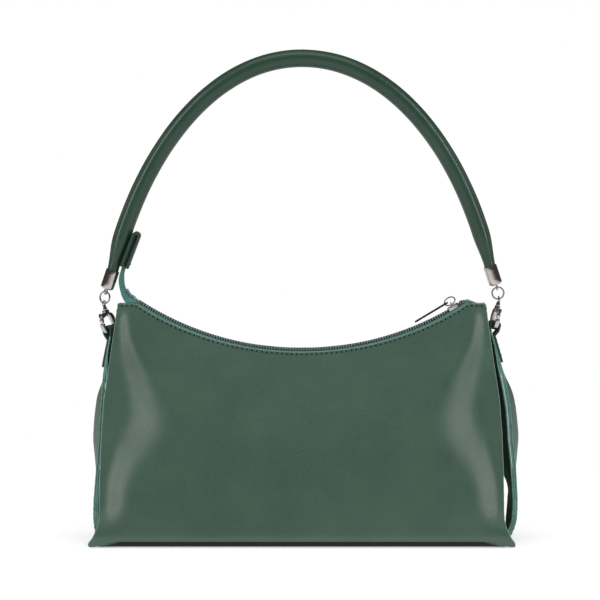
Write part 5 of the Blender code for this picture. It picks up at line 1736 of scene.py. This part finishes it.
def clasp_outline():
    """The claw seen flat, open on its +X side between the tip and the gate's pivot."""
    tip_angle = math.asin(CLASP_TIP_HEIGHT / CLASP_HALF_WIDTH)
    inner_tip = math.asin(CLASP_TIP_HEIGHT / CLASP_HOLE_RADIUS)
    outer = arc_points((0.0, 0.0), CLASP_HALF_WIDTH, tip_angle, -math.pi, 44)
    spine = [(-CLASP_HALF_WIDTH * 0.985, CLASP_SHOULDER_HEIGHT * 0.25),
             (-CLASP_HALF_WIDTH * 0.94, CLASP_SHOULDER_HEIGHT * 0.5),
             (-CLASP_HALF_WIDTH * 0.85, CLASP_SHOULDER_HEIGHT * 0.77),
             (-CLASP_HALF_WIDTH * 0.7, CLASP_SHOULDER_HEIGHT),
             (-CLASP_HALF_WIDTH * 0.5, CLASP_SHOULDER_HEIGHT + CLASP_COLLAR_RADIUS * 0.33),
             (-CLASP_COLLAR_RADIUS, CLASP_SHOULDER_HEIGHT + CLASP_COLLAR_RADIUS / 2),
             (-CLASP_COLLAR_RADIUS, CLASP_TOP)]
    neck = [(CLASP_COLLAR_RADIUS, CLASP_TOP),
            (CLASP_COLLAR_RADIUS, CLASP_SHOULDER_HEIGHT + CLASP_COLLAR_RADIUS / 2)]
    boss = arc_points(
        (PIVOT_ACROSS, PIVOT_HEIGHT), PIVOT_BOSS_RADIUS, math.pi * 0.42, -math.pi * 0.62, 22)
    crown = arc_points(
        (0.0, HOLE_SHOULDER_HEIGHT), CLASP_HOLE_TOP_RADIUS, math.pi * 0.15, math.pi * 0.9, 18)
    hole = arc_points((0.0, 0.0), CLASP_HOLE_RADIUS, math.pi, 2 * math.pi + inner_tip, 36)
    return outer + spine + neck + boss + crown + hole


def make_claw(side):
    place = side.clasp_frame()
    thick = CLASP_HALF_THICKNESS
    claw = slab(
        side.side + "_clasp_claw", clasp_outline(), -thick, thick, nickel(), place, along="Y")
    soften(claw, CLASP_EDGE_ROUND * 1.6, 4, 50)
    settle(claw)
    bore = rod("bore", SWIVEL_POST_RADIUS + FINE_GAP, CLASP_HOLE_TOP - CUT_OVERRUN,
               CLASP_TOP + CUT_OVERRUN, nickel(), place)
    combine(claw, bore, 'DIFFERENCE')
    boss = Matrix.Translation((PIVOT_ACROSS, 0.0, PIVOT_HEIGHT))
    boss = boss @ Matrix.Rotation(-math.pi / 2, 4, 'X')
    across_pivot = place @ boss
    slot_half = GATE_LUG_HALF + FINE_GAP
    slot = rod("slot", PIVOT_BOSS_RADIUS + SEAT_GAP, -slot_half, slot_half, nickel(), across_pivot)
    combine(claw, slot, 'DIFFERENCE')
    pin_hole = rod("pin_hole", PIN_RADIUS + FINE_GAP, -thick - CUT_OVERRUN, thick + CUT_OVERRUN,
                   nickel(), across_pivot)
    return combine(claw, pin_hole, 'DIFFERENCE'), across_pivot


def make_gate(side, across_pivot):
    """The sprung gate: a blade that closes the claw, on a lug between its cheeks."""
    place = side.clasp_frame()
    tip = (
        CLASP_HALF_WIDTH - GATE_TIP_RADIUS - CLASP_EDGE_ROUND,
        CLASP_TIP_HEIGHT + GATE_TIP_RADIUS + SEAT_GAP)
    lug = (PIVOT_ACROSS, PIVOT_HEIGHT)
    run = Vector((tip[0] - lug[0], tip[1] - lug[1]))
    heading = math.atan2(run.y, run.x)
    left, right = heading + math.pi / 2, heading - math.pi / 2
    outline = arc_points(tip, GATE_TIP_RADIUS * 0.9, right, left, 16)
    outline += arc_points(lug, GATE_LUG_RADIUS, heading + math.pi / 2, heading + math.pi * 1.5, 24)
    gate = slab(
        side.side + "_spring_gate", outline, -GATE_LUG_HALF, GATE_LUG_HALF, nickel(), place,
        along="Y")
    start = Vector(lug) + run.normalized() * (PIVOT_BOSS_RADIUS + SEAT_GAP)
    aside = Vector((-run.y, run.x)).normalized()
    blade = [tuple(start + aside * GATE_TIP_RADIUS), tuple(start - aside * GATE_TIP_RADIUS)]
    blade += arc_points(tip, GATE_TIP_RADIUS, heading - math.pi / 2, heading + math.pi / 2, 16)
    thumb = Vector(tip).lerp(start, 0.5) + aside * (GATE_TIP_RADIUS + GATE_THUMB_REACH)
    near = thumb.lerp(start + aside * GATE_TIP_RADIUS, 0.25) + aside * (GATE_THUMB_REACH * 0.1)
    blade += [tuple(thumb), tuple(near)]
    width = slab("blade", blade, -GATE_BLADE_HALF, GATE_BLADE_HALF, nickel(), place, along="Y")
    soften(width, 0.25 * MM, 3, 50)
    settle(width)
    combine(gate, width, 'UNION')
    reach = CLASP_HALF_THICKNESS + CUT_OVERRUN
    hole = rod("gate_bore", PIN_RADIUS + FINE_GAP, -reach, reach, nickel(), across_pivot)
    return combine(gate, hole, 'DIFFERENCE')


def make_swivel(side):
    """The swivel: an eye on a headed post that turns in the clasp's neck."""
    head_top = CLASP_HOLE_TOP - SWIVEL_HEAD_DROP
    head_foot = head_top - SWIVEL_HEAD_HEIGHT
    eye_foot = CLASP_REACH - EYE_RADIUS
    flange = CLASP_TOP + SEAT_GAP
    post = SWIVEL_POST_RADIUS
    profile = [
        (0.0, eye_foot), (post * 1.1, eye_foot), (post * 1.35, mix(eye_foot, flange, 0.35)),
        (post * 1.7, flange + 3 * FINE_GAP), (post * 1.8, flange + 2 * FINE_GAP),
        (post * 1.7, flange),
        (post, flange), (post, head_top), (SWIVEL_HEAD_RADIUS, head_top),
        (SWIVEL_HEAD_RADIUS * 0.8, head_foot), (0.0, head_foot),
    ]
    swivel = turned(side.side + "_swivel", profile, 40, nickel(), side.clasp_frame())
    eye = hoop("eye", EYE_RADIUS, EYE_WIRE, nickel(), side.eye_frame(side.foot), 40, 14)
    return combine(swivel, eye, 'UNION')


def make_ferrule(side):
    """A turned metal cup on the handle's end, with an eye below it."""
    up = side.leg_up()
    across = Vector((up.z, 0.0, -up.x))
    place = frame_matrix(side.crown, across, up.cross(across), up)
    foot = EYE_STANDOFF
    mouth = foot + FERRULE_LENGTH
    bore_foot = mouth - FERRULE_BORE_DEPTH
    bore = HANDLE_END_RADIUS + FINE_GAP
    lip = FINE_GAP
    wall = FERRULE_RADIUS
    profile = [(0.0, bore_foot), (bore, bore_foot), (bore, mouth - lip / 2),
               (bore + lip / 3, mouth), (wall - lip, mouth),
               (wall - lip * 0.3, mouth - lip * 0.3), (wall, mouth - lip)]
    for share in (0.25, 0.5, 0.75):
        profile.append((wall, mix(mouth - lip, foot + FERRULE_CHAMFER, share)))
    profile += [(wall, foot + FERRULE_CHAMFER * 1.12),
                (wall - 0.1 * MM, foot + FERRULE_CHAMFER * 0.92),
                (wall - FERRULE_CHAMFER + 0.1 * MM, foot + 0.08 * MM),
                (wall - FERRULE_CHAMFER - 0.12 * MM, foot), (0.0, foot)]
    ferrule = turned(side.side + "_end_ferrule", profile, 72, nickel(), place)
    eye = hoop("eye", EYE_RADIUS, EYE_WIRE * 1.1, nickel(), side.eye_frame(side.crown), 40, 14)
    return combine(ferrule, eye, 'UNION')


def sharpen(made, angle=42):
    """Keeps the crisp edges of a turned or cut metal piece."""
    made.data.shade_smooth()
    made.data.set_sharp_from_angle(angle=math.radians(angle))
    return made


class BAG_OT_clasps(bpy.types.Operator):
    """Makes the clasps, gates, swivels, rings and ferrules, and finishes the pins and springs"""

    bl_idname = "baguette.clasps"
    bl_label = "Clasps and rings"

    def execute(self, context):
        for side in make_suspensions():
            name = side.side
            claw, across_pivot = make_claw(side)
            dress(sharpen(claw), name + "_clasp", "nickel", name + "_clasp")
            gate = make_gate(side, across_pivot)
            dress(sharpen(gate), name + "_gate", "nickel", name + "_clasp_gate")
            dress(sharpen(make_swivel(side)), name + "_swivel", "nickel", name + "_swivel_eye")
            ring = hoop(name + "_link_ring", RING_RADIUS, RING_WIRE, nickel(), side.ring_frame())
            dress(ring, name + "_ring", "nickel", name + "_ring")
            dress(sharpen(make_ferrule(side)), "handle", "nickel", name + "_ferrule")
            finish_node(name + "_gate_pin", spring_steel())
            finish_node(name + "_gate_spring", spring_steel())
        return {'FINISHED'}


# The handle.


def leg_curve(end, side, steps):
    """Points up one leg, from its end in the ferrule to the middle of the crown."""
    sign = side.sign
    turn = end + side.leg_up() * (FERRULE_BORE_DEPTH - SEAT_GAP)
    pull = Vector((-sign * math.sin(HANDLE_START_LEAN), 0.0, math.cos(HANDLE_START_LEAN)))
    first = turn + pull * HANDLE_LEG_PULL
    second = Vector((sign * HANDLE_SHOULDER, 0.0, HANDLE_CROWN_HEIGHT))
    crown = Vector((0.0, 0.0, HANDLE_CROWN_HEIGHT))
    points = [end]
    for step in range(steps + 1):
        t = step / steps
        left = 1 - t
        points.append(
            turn * left ** 3 + first * (3 * t * left ** 2)
            + second * (3 * t ** 2 * left) + crown * t ** 3)
    return points


def handle_ring(route, lengths, index, wall, sides, seamed):
    """A ring of the handle's skin or core, thinner in the ferrules and creased at its seam."""
    run = run_at(route, index)
    outward = Vector((run.z, 0.0, -run.x))
    past = min(lengths[index], lengths[-1] - lengths[index]) - FERRULE_BORE_DEPTH
    radius = mix(HANDLE_END_RADIUS, HANDLE_RADIUS, smooth_step(past / HANDLE_TAPER)) - wall
    soft = smooth_step(past / (HANDLE_TAPER * 0.3))
    points = []
    for angle in circle_angles(sides):
        away = abs(angle - math.pi)
        reach = radius
        if seamed:
            reach -= sizes().seam_depth * math.exp(-(away / 0.09) ** 2) * soft
            reach += HANDLE_SEAM_LIP * math.exp(-((away - 0.27) / 0.13) ** 2) * soft
            spot = Vector((lengths[index] * 45.0, math.cos(angle), math.sin(angle)))
            reach += HANDLE_SKIN_SLACK * noise.noise(spot) * soft
        across = outward * math.cos(angle) + Vector((0, 1, 0)) * math.sin(angle)
        points.append(route[index] + across * reach)
    return points


class BAG_OT_handle(bpy.types.Operator):
    """Makes the tubular leather handle with its inner seam, and its core"""

    bl_idname = "baguette.handle"
    bl_label = "Handle"

    def execute(self, context):
        right, left = make_suspensions()
        fine = leg_curve(right.handle_end(), right, LEG_STEPS)
        fine += list(reversed(leg_curve(left.handle_end(), left, LEG_STEPS)))[1:]
        route = even_points(fine, HANDLE_RINGS)
        lengths = lengths_along(route)
        skin = [
            handle_ring(route, lengths, index, 0.0, HANDLE_SIDES, True)
            for index in range(len(route))]
        handle = cut_sheet(
            "handle_tube", skin, HANDLE_WALL, [handle_leather(), raw_edge()], closed=True,
            edge=0.15 * MM)
        dress(handle, "handle", "leather", "handle_cover")
        filling = [
            handle_ring(route, lengths, index, HANDLE_WALL + SEAT_GAP, 20, False)
            for index in range(0, len(route), 2)]
        core = loft("handle_filler", filling, [core_cord()])
        dress(core, "handle", "handle_core", "handle_core")
        return {'FINISHED'}


# The side straps.


class Strap:
    """A strap from the base seam, bowed and twisted, folded over its clasp's hook and back."""

    def __init__(self, side, bow, clasp_yaw):
        self.sign = side.sign
        self.clasp_yaw = clasp_yaw
        self.frame = side.clasp_frame()
        self.pinch = -CLASP_HALF_WIDTH - LOOP_PINCH_DROP
        self.ply = (LOOP_LEATHER + FINE_GAP) / 2
        top = self.loop_place(-self.sign * self.ply, self.pinch)
        route = [Vector((self.sign * STRAP_FOOT_REACH, 0.0, STRAP_FOOT_HEIGHT))]
        for rise, bulge in BOW_RISE_SHARES:
            across = self.sign * mix(STRAP_FOOT_REACH, bow, bulge)
            route.append(Vector((across, 0.0, mix(STRAP_FOOT_HEIGHT, top.z, rise))))
        for rise, ease in NECK_EASE_SHARES:
            across = mix(top.x, self.sign * bow, ease)
            route.append(Vector((across, 0.0, mix(STRAP_FOOT_HEIGHT, top.z, rise))))
        route.append(top)
        self.middle = smooth_route(route, STRAP_FINE_STEPS + 1)

    def loop_place(self, through, up):
        return self.frame @ Vector((0.0, through, up))

    def station(self, share):
        """Place, run, width direction, half width and thickness at a share of the way up."""
        index = min(max(round(share * STRAP_FINE_STEPS), 0), STRAP_FINE_STEPS)
        before = self.middle[max(index - 4, 0)]
        after = self.middle[min(index + 4, STRAP_FINE_STEPS)]
        run = (after - before).normalized()
        twist = self.sign * STRAP_TWIST * read_shares(TWIST_SHARES, share)
        twist = mix(twist, self.clasp_yaw, smooth_step((share - 0.72) / 0.28))
        width_way = Matrix.Rotation(twist, 3, run) @ Vector((0.0, -1.0, 0.0))
        half_width = mix(STRAP_HALF_WIDTH, LOOP_HALF_WIDTH, smooth_step((share - 0.5) / 0.5))
        thickness = mix(STRAP_THICKNESS, LOOP_LEATHER, smooth_step((share - 0.65) / 0.35))
        return self.middle[index], run, width_way, half_width, thickness

    def loop_stations(self):
        """The loop over the hook, from the inner leg's pinch to the outer one's."""
        leg = CLASP_HALF_THICKNESS + LOOP_SIDE_GAP + LOOP_LEATHER / 2
        top = LOOP_FLOOR_LIFT - CLASP_HOLE_RADIUS + LOOP_LEATHER / 2
        turn = LOOP_LEATHER * 1.25
        half = [(leg * 0.55, self.pinch + LOOP_PINCH_DROP * 0.45),
                (leg * 0.9, -CLASP_HALF_WIDTH * 1.04)]
        half += arc_points((leg - turn, top - turn), turn, 0.0, math.pi / 2, 7)
        route = [(-self.sign * through, up) for through, up in half]
        route += [(self.sign * through, up) for through, up in reversed(half)]
        return [self.loop_place(through, up) for through, up in route]

    def rings(self):
        made = []
        for index in range(STRAP_STATIONS + 1):
            made.append(self.ring(*self.station(index / STRAP_STATIONS), True))
        outer_end = self.loop_place(self.sign * self.ply, self.pinch)
        ends = smooth_route([self.middle[-1], *self.loop_stations(), outer_end], 64)
        width_way = self.frame.to_3x3() @ Vector((1.0, 0.0, 0.0))
        for before, place, after in zip(ends, ends[1:], ends[2:]):
            run = (after - before).normalized()
            made.append(self.ring(place, run, width_way, LOOP_HALF_WIDTH, LOOP_LEATHER, False))
        length = lengths_along(self.middle)[-1]
        steps = 26
        for step in range(steps + 1):
            share = 1.0 - LOOP_TAIL_LENGTH / length * step / steps
            place, run, width_way, half_width, thickness = self.station(share)
            outward = run.cross(width_way) * self.sign
            shift = outward * (thickness / 2 + FINE_GAP + LOOP_LEATHER / 2)
            made.append(self.ring(place + shift, -run, width_way, half_width, LOOP_LEATHER, False))
        return made

    def leaf_rings(self):
        """The loose inner leaf: it shares the strap's front edge and opens towards the back."""
        made = []
        for step in range(LEAF_STATIONS + 1):
            share = mix(0.004, LEAF_TOP_SHARE, step / LEAF_STATIONS)
            place, run, width_way, half_width, thickness = self.station(share)
            opening = smooth_step((share - 0.22) / 0.2)
            opening *= smooth_step((LEAF_TOP_SHARE - share) / 0.1)
            inward = run.cross(width_way) * -self.sign
            leaf = LEAF_LEATHER * mix(0.25, 1.0, smooth_step((LEAF_TOP_SHARE - share) / 0.12))
            half = half_width - SEAT_GAP
            turn = Matrix.Rotation(self.sign * LEAF_OPENING * opening, 3, run)
            leaf_way = turn @ width_way
            front = place + width_way * half_width
            lift = (thickness + leaf) / 2 - 0.05 * MM
            made.append(self.ring(
                front + inward * lift - leaf_way * half, run, leaf_way, half, leaf, False))
        return made

    @staticmethod
    def ring(place, run, width_way, half_width, thickness, two_ply):
        """A section with rounded cut edges, and a groove where two plies meet."""
        normal = run.cross(width_way).normalized()
        flat = thickness / 2
        ease = min(0.4 * MM, flat * 0.5)
        groove = 0.35 * MM if two_ply else 0.05 * MM
        edge = [(half_width - ease, -flat), (half_width - ease * 0.3, -flat + ease * 0.3),
                (half_width, -flat + ease), (half_width, -flat * 0.18), (half_width - groove, 0.0),
                (half_width, flat * 0.18), (half_width, flat - ease),
                (half_width - ease * 0.3, flat - ease * 0.3), (half_width - ease, flat)]
        upper = [(half_width * share, flat) for share in (0.5, 0.0, -0.5)]
        other = [(-across, -level) for across, level in edge]
        lower = [(half_width * share, -flat) for share in (-0.5, 0.0, 0.5)]
        points = []
        for across, level in edge + upper + other + lower:
            point = place + width_way * across + normal * level
            if abs(across) > half_width - ease * 1.1:
                point += wander(point, 260.0, 0.1 * MM)
            points.append(point)
        return points


STRAP_EDGE_POINTS = 9
STRAP_FACE_POINTS = 3


def strap_finish(step, index):
    """Smooth leather on the faces, a raw edge on the strap and an inked one on its loop."""
    around = index % (STRAP_EDGE_POINTS + STRAP_FACE_POINTS)
    edge = 1 if step < STRAP_STATIONS + 8 else 2
    return edge if around < STRAP_EDGE_POINTS - 1 else 0


def strap_stitches(name, strap, share_low, share_high, lift_share):
    """Two short lines of stitches down a strap, near its edges."""
    size = sizes()
    pieces = []
    for side in (-1, 1):
        places = []
        normals = []
        length = lengths_along(strap.middle)[-1]
        count = max(2, round((share_high - share_low) * length / size.stitch_pitch))
        for step in range(count + 1):
            place, run, width_way, half_width, thickness = strap.station(
                mix(share_low, share_high, step / count))
            outward = run.cross(width_way) * strap.sign
            lift = thickness / 2 + lift_share * (FINE_GAP + LOOP_LEATHER)
            places.append(place + outward * lift + width_way * (side * (half_width - 1.6 * MM)))
            normals.append(outward)
        label = name + ("_front" if side > 0 else "_back")
        pieces.append(stitch_line(label, places, normals, waxed_thread()))
    return pieces


class BAG_OT_straps(bpy.types.Operator):
    """Makes the two side straps with their loops, raw edges and stitches"""

    bl_idname = "baguette.straps"
    bl_label = "Side straps"

    def execute(self, context):
        right, left = make_suspensions()
        finishes = [strap_leather(), raw_edge(), dark_cut()]
        for side, bow, yaw in (
                (right, RIGHT_STRAP_BOW, RIGHT_CLASP_YAW), (left, LEFT_STRAP_BOW, LEFT_CLASP_YAW)):
            strap = Strap(side, bow, yaw)
            piece = loft(
                side.side + "_strap_leather", strap.rings(), finishes, strap_finish, cap_finish=1)
            dress(piece, "bag", "strap_leather", side.side + "_side_strap")
            leaf = loft(
                side.side + "_strap_leaf", strap.leaf_rings(), finishes[:2], strap_finish,
                cap_finish=1)
            dress(leaf, "bag", "strap_leather")
            for stitches in strap_stitches(side.side + "_strap_stitches", strap, 0.885, 0.985, 1.0):
                dress(stitches, "bag", "strap_leather")
            for stitches in strap_stitches(side.side + "_foot_stitches", strap, 0.03, 0.17, 0.0):
                dress(stitches, "bag", "strap_leather")
        return {'FINISHED'}


# The studio.


def add_softbox(name, place, width, height, power):
    light = bpy.data.lights.new(name, 'AREA')
    light.shape = 'RECTANGLE'
    light.size = width
    light.size_y = height
    light.energy = power
    made = bpy.data.objects.new(name, light)
    bpy.context.scene.collection.objects.link(made)
    made.location = place
    aim = Vector(LIGHT_TARGET) - Vector(place)
    made.rotation_euler = aim.to_track_quat('-Z', 'Y').to_euler()
    return made


def spare_hardware(lamps):
    """Keeps the side softboxes' glare off the hardware, as small flags on stands would."""
    hardware = bpy.data.collections.new("hardware without glare")
    for made in bpy.context.scene.objects:
        finishes = made.data.materials if made.type == 'MESH' else ()
        if any(finish and finish.name in METALS for finish in finishes):
            hardware.objects.link(made)
    for entry in hardware.collection_objects:
        entry.light_linking.link_state = 'EXCLUDE'
    for lamp in lamps:
        lamp.light_linking.receiver_collection = hardware


def bare_tree(owner):
    """The emptied node tree of a new material or world."""
    owner.use_nodes = True
    owner.node_tree.nodes.clear()
    return Wiring(owner.node_tree)


def seen_directly(wiring):
    """1 where a surface is seen, also in a reflection or through glass, and 0 otherwise."""
    seen = wiring.add('ShaderNodeLightPath').outputs
    shown = wiring.math('MAXIMUM', seen['Is Camera Ray'], seen['Is Glossy Ray'])
    return wiring.math('MAXIMUM', shown, seen['Is Transmission Ray'])


def white_floor():
    """A white floor that keeps a faint contact shadow and melts into the background."""
    made = bpy.data.materials.new("studio floor")
    wiring = bare_tree(made)
    matte = wiring.add('ShaderNodeBsdfDiffuse', {'Color': (0.8, 0.8, 0.8, 1.0)})
    glow = wiring.add('ShaderNodeEmission', {'Color': WHITE, 'Strength': 0.45})
    lit = wiring.add('ShaderNodeAddShader', {0: matte.outputs[0], 1: glow.outputs[0]})
    white = wiring.add('ShaderNodeEmission', {'Color': WHITE, 'Strength': 1.0})
    reach = wiring.add('ShaderNodeVectorMath', {0: own_place(wiring)}, operation='LENGTH')
    far = wiring.ramp(reach.outputs['Value'], FLOOR_FADE_START, FLOOR_FADE_END)
    both = wiring.add('ShaderNodeMixShader', {0: far, 1: lit.outputs[0], 2: white.outputs[0]})
    plain = wiring.add('ShaderNodeBsdfDiffuse', {'Color': (0.75, 0.75, 0.75, 1.0)})
    final = wiring.add('ShaderNodeMixShader', {
        0: seen_directly(wiring), 1: plain.outputs[0], 2: both.outputs[0]})
    wiring.add('ShaderNodeOutputMaterial', {'Surface': final.outputs[0]})
    return made


def white_room(strength):
    """A world that is white to the camera and in reflections, and an even light otherwise."""
    world = bpy.data.worlds.new("studio room")
    wiring = bare_tree(world)
    level = wiring.ramp(seen_directly(wiring), 0.0, 1.0, strength, 1.0)
    back = wiring.add('ShaderNodeBackground', {'Color': WHITE, 'Strength': level})
    wiring.add('ShaderNodeOutputWorld', {'Surface': back.outputs[0]})
    bpy.context.scene.world = world


def dark_hood():
    """Dark flags round and above the set, that only reflections show."""
    mesh_data = bmesh.new()
    outline = ((HOOD_HALF_WIDTH, HOOD_FAR), (HOOD_HALF_WIDTH, HOOD_NEAR),
               (-HOOD_HALF_WIDTH, HOOD_NEAR), (-HOOD_HALF_WIDTH, HOOD_FAR))
    rings = [[(x, y, level) for x, y in outline] for level in (HOOD_LOW, HOOD_HIGH)]
    mesh_data.faces.new(grid_faces(mesh_data, rings, True)[1])
    made = bpy.data.materials.new("dark flag")
    wiring = bare_tree(made)
    glow = wiring.add('ShaderNodeEmission', {'Color': (1.0, 0.9, 0.87, 1.0), 'Strength': 0.07})
    wiring.add('ShaderNodeOutputMaterial', {'Surface': glow.outputs[0]})
    hood = add_piece("dark_flags", mesh_data, [made])
    for ray in ("camera", "diffuse", "transmission", "shadow", "volume_scatter"):
        setattr(hood, "visible_" + ray, False)


def add_camera(scene, studio):
    camera_data = bpy.data.cameras.new("camera")
    camera = bpy.data.objects.new("camera", camera_data)
    scene.collection.objects.link(camera)
    camera_data.lens = studio.lens
    camera_data.sensor_width = SENSOR_WIDTH
    aim = Vector((studio.aim_across, 0.0, studio.aim_height))
    back = Vector((0.0, -math.cos(studio.elevation), math.sin(studio.elevation)))
    camera.location = aim + back * studio.distance
    camera.rotation_euler = (-back).to_track_quat('-Z', 'Y').to_euler()
    scene.camera = camera


class BAG_OT_studio(bpy.types.Operator):
    """Makes the white floor and room, the softboxes and the camera"""

    bl_idname = "baguette.studio"
    bl_label = "Studio"

    def execute(self, context):
        scene = context.scene
        studio = scene.bag_studio
        scene.view_settings.view_transform = 'Standard'
        mesh_data = bmesh.new()
        bmesh.ops.create_grid(mesh_data, x_segments=1, y_segments=1, size=FLOOR_HALF_SIZE)
        floor = add_piece("studio_floor", mesh_data, [white_floor()])
        floor.location.z = -FLOOR_DROP
        white_room(studio.room_light)
        strips = []
        for name, side in (("left", -1), ("right", 1)):
            for kind, (across, depth, height), size, power in (
                    (" softbox", STRIP_PLACE, STRIP_SIZE, studio.front_light),
                    (" rim softbox", RIM_PLACE, RIM_SIZE, studio.side_light)):
                place = (side * across, depth, height)
                strips.append(add_softbox(name + kind, place, *size, power))
        spare_hardware(strips)
        add_softbox("top softbox", TOP_PLACE, *TOP_SIZE, studio.top_light)
        dark_hood()
        add_camera(scene, studio)
        return {'FINISHED'}


OPERATORS = (
    BAG_OT_panels, BAG_OT_gussets, BAG_OT_base, BAG_OT_lining, BAG_OT_zip, BAG_OT_tail,
    BAG_OT_pull, BAG_OT_clasps, BAG_OT_handle, BAG_OT_straps, BAG_OT_studio)


class BAG_PT_sidebar(bpy.types.Panel):
    """Lists the steps that build the bag"""

    bl_idname = "BAG_PT_sidebar"
    bl_label = "Baguette bag"
    bl_space_type = 'VIEW_3D'
    bl_region_type = 'UI'
    bl_category = "Bag"

    def draw(self, context):
        for group in (context.scene.bag_sizes, context.scene.bag_colours, context.scene.bag_studio):
            box = self.layout.box()
            for name in group.__annotations__:
                box.prop(group, name)
        for operator in OPERATORS:
            self.layout.operator(operator.bl_idname)


CLASSES = (BagSizes, BagColours, BagStudio, *OPERATORS, BAG_PT_sidebar)


def register():
    for item in CLASSES:
        bpy.utils.register_class(item)
    bpy.types.Scene.bag_sizes = PointerProperty(type=BagSizes)
    bpy.types.Scene.bag_colours = PointerProperty(type=BagColours)
    bpy.types.Scene.bag_studio = PointerProperty(type=BagStudio)


def unregister():
    del bpy.types.Scene.bag_studio
    del bpy.types.Scene.bag_colours
    del bpy.types.Scene.bag_sizes
    for item in reversed(CLASSES):
        bpy.utils.unregister_class(item)


def main():
    """Builds every piece in order."""
    register()
    for operator in OPERATORS:
        group, name = operator.bl_idname.split(".")
        getattr(getattr(bpy.ops, group), name)()


if __name__ == "__main__":
    main()
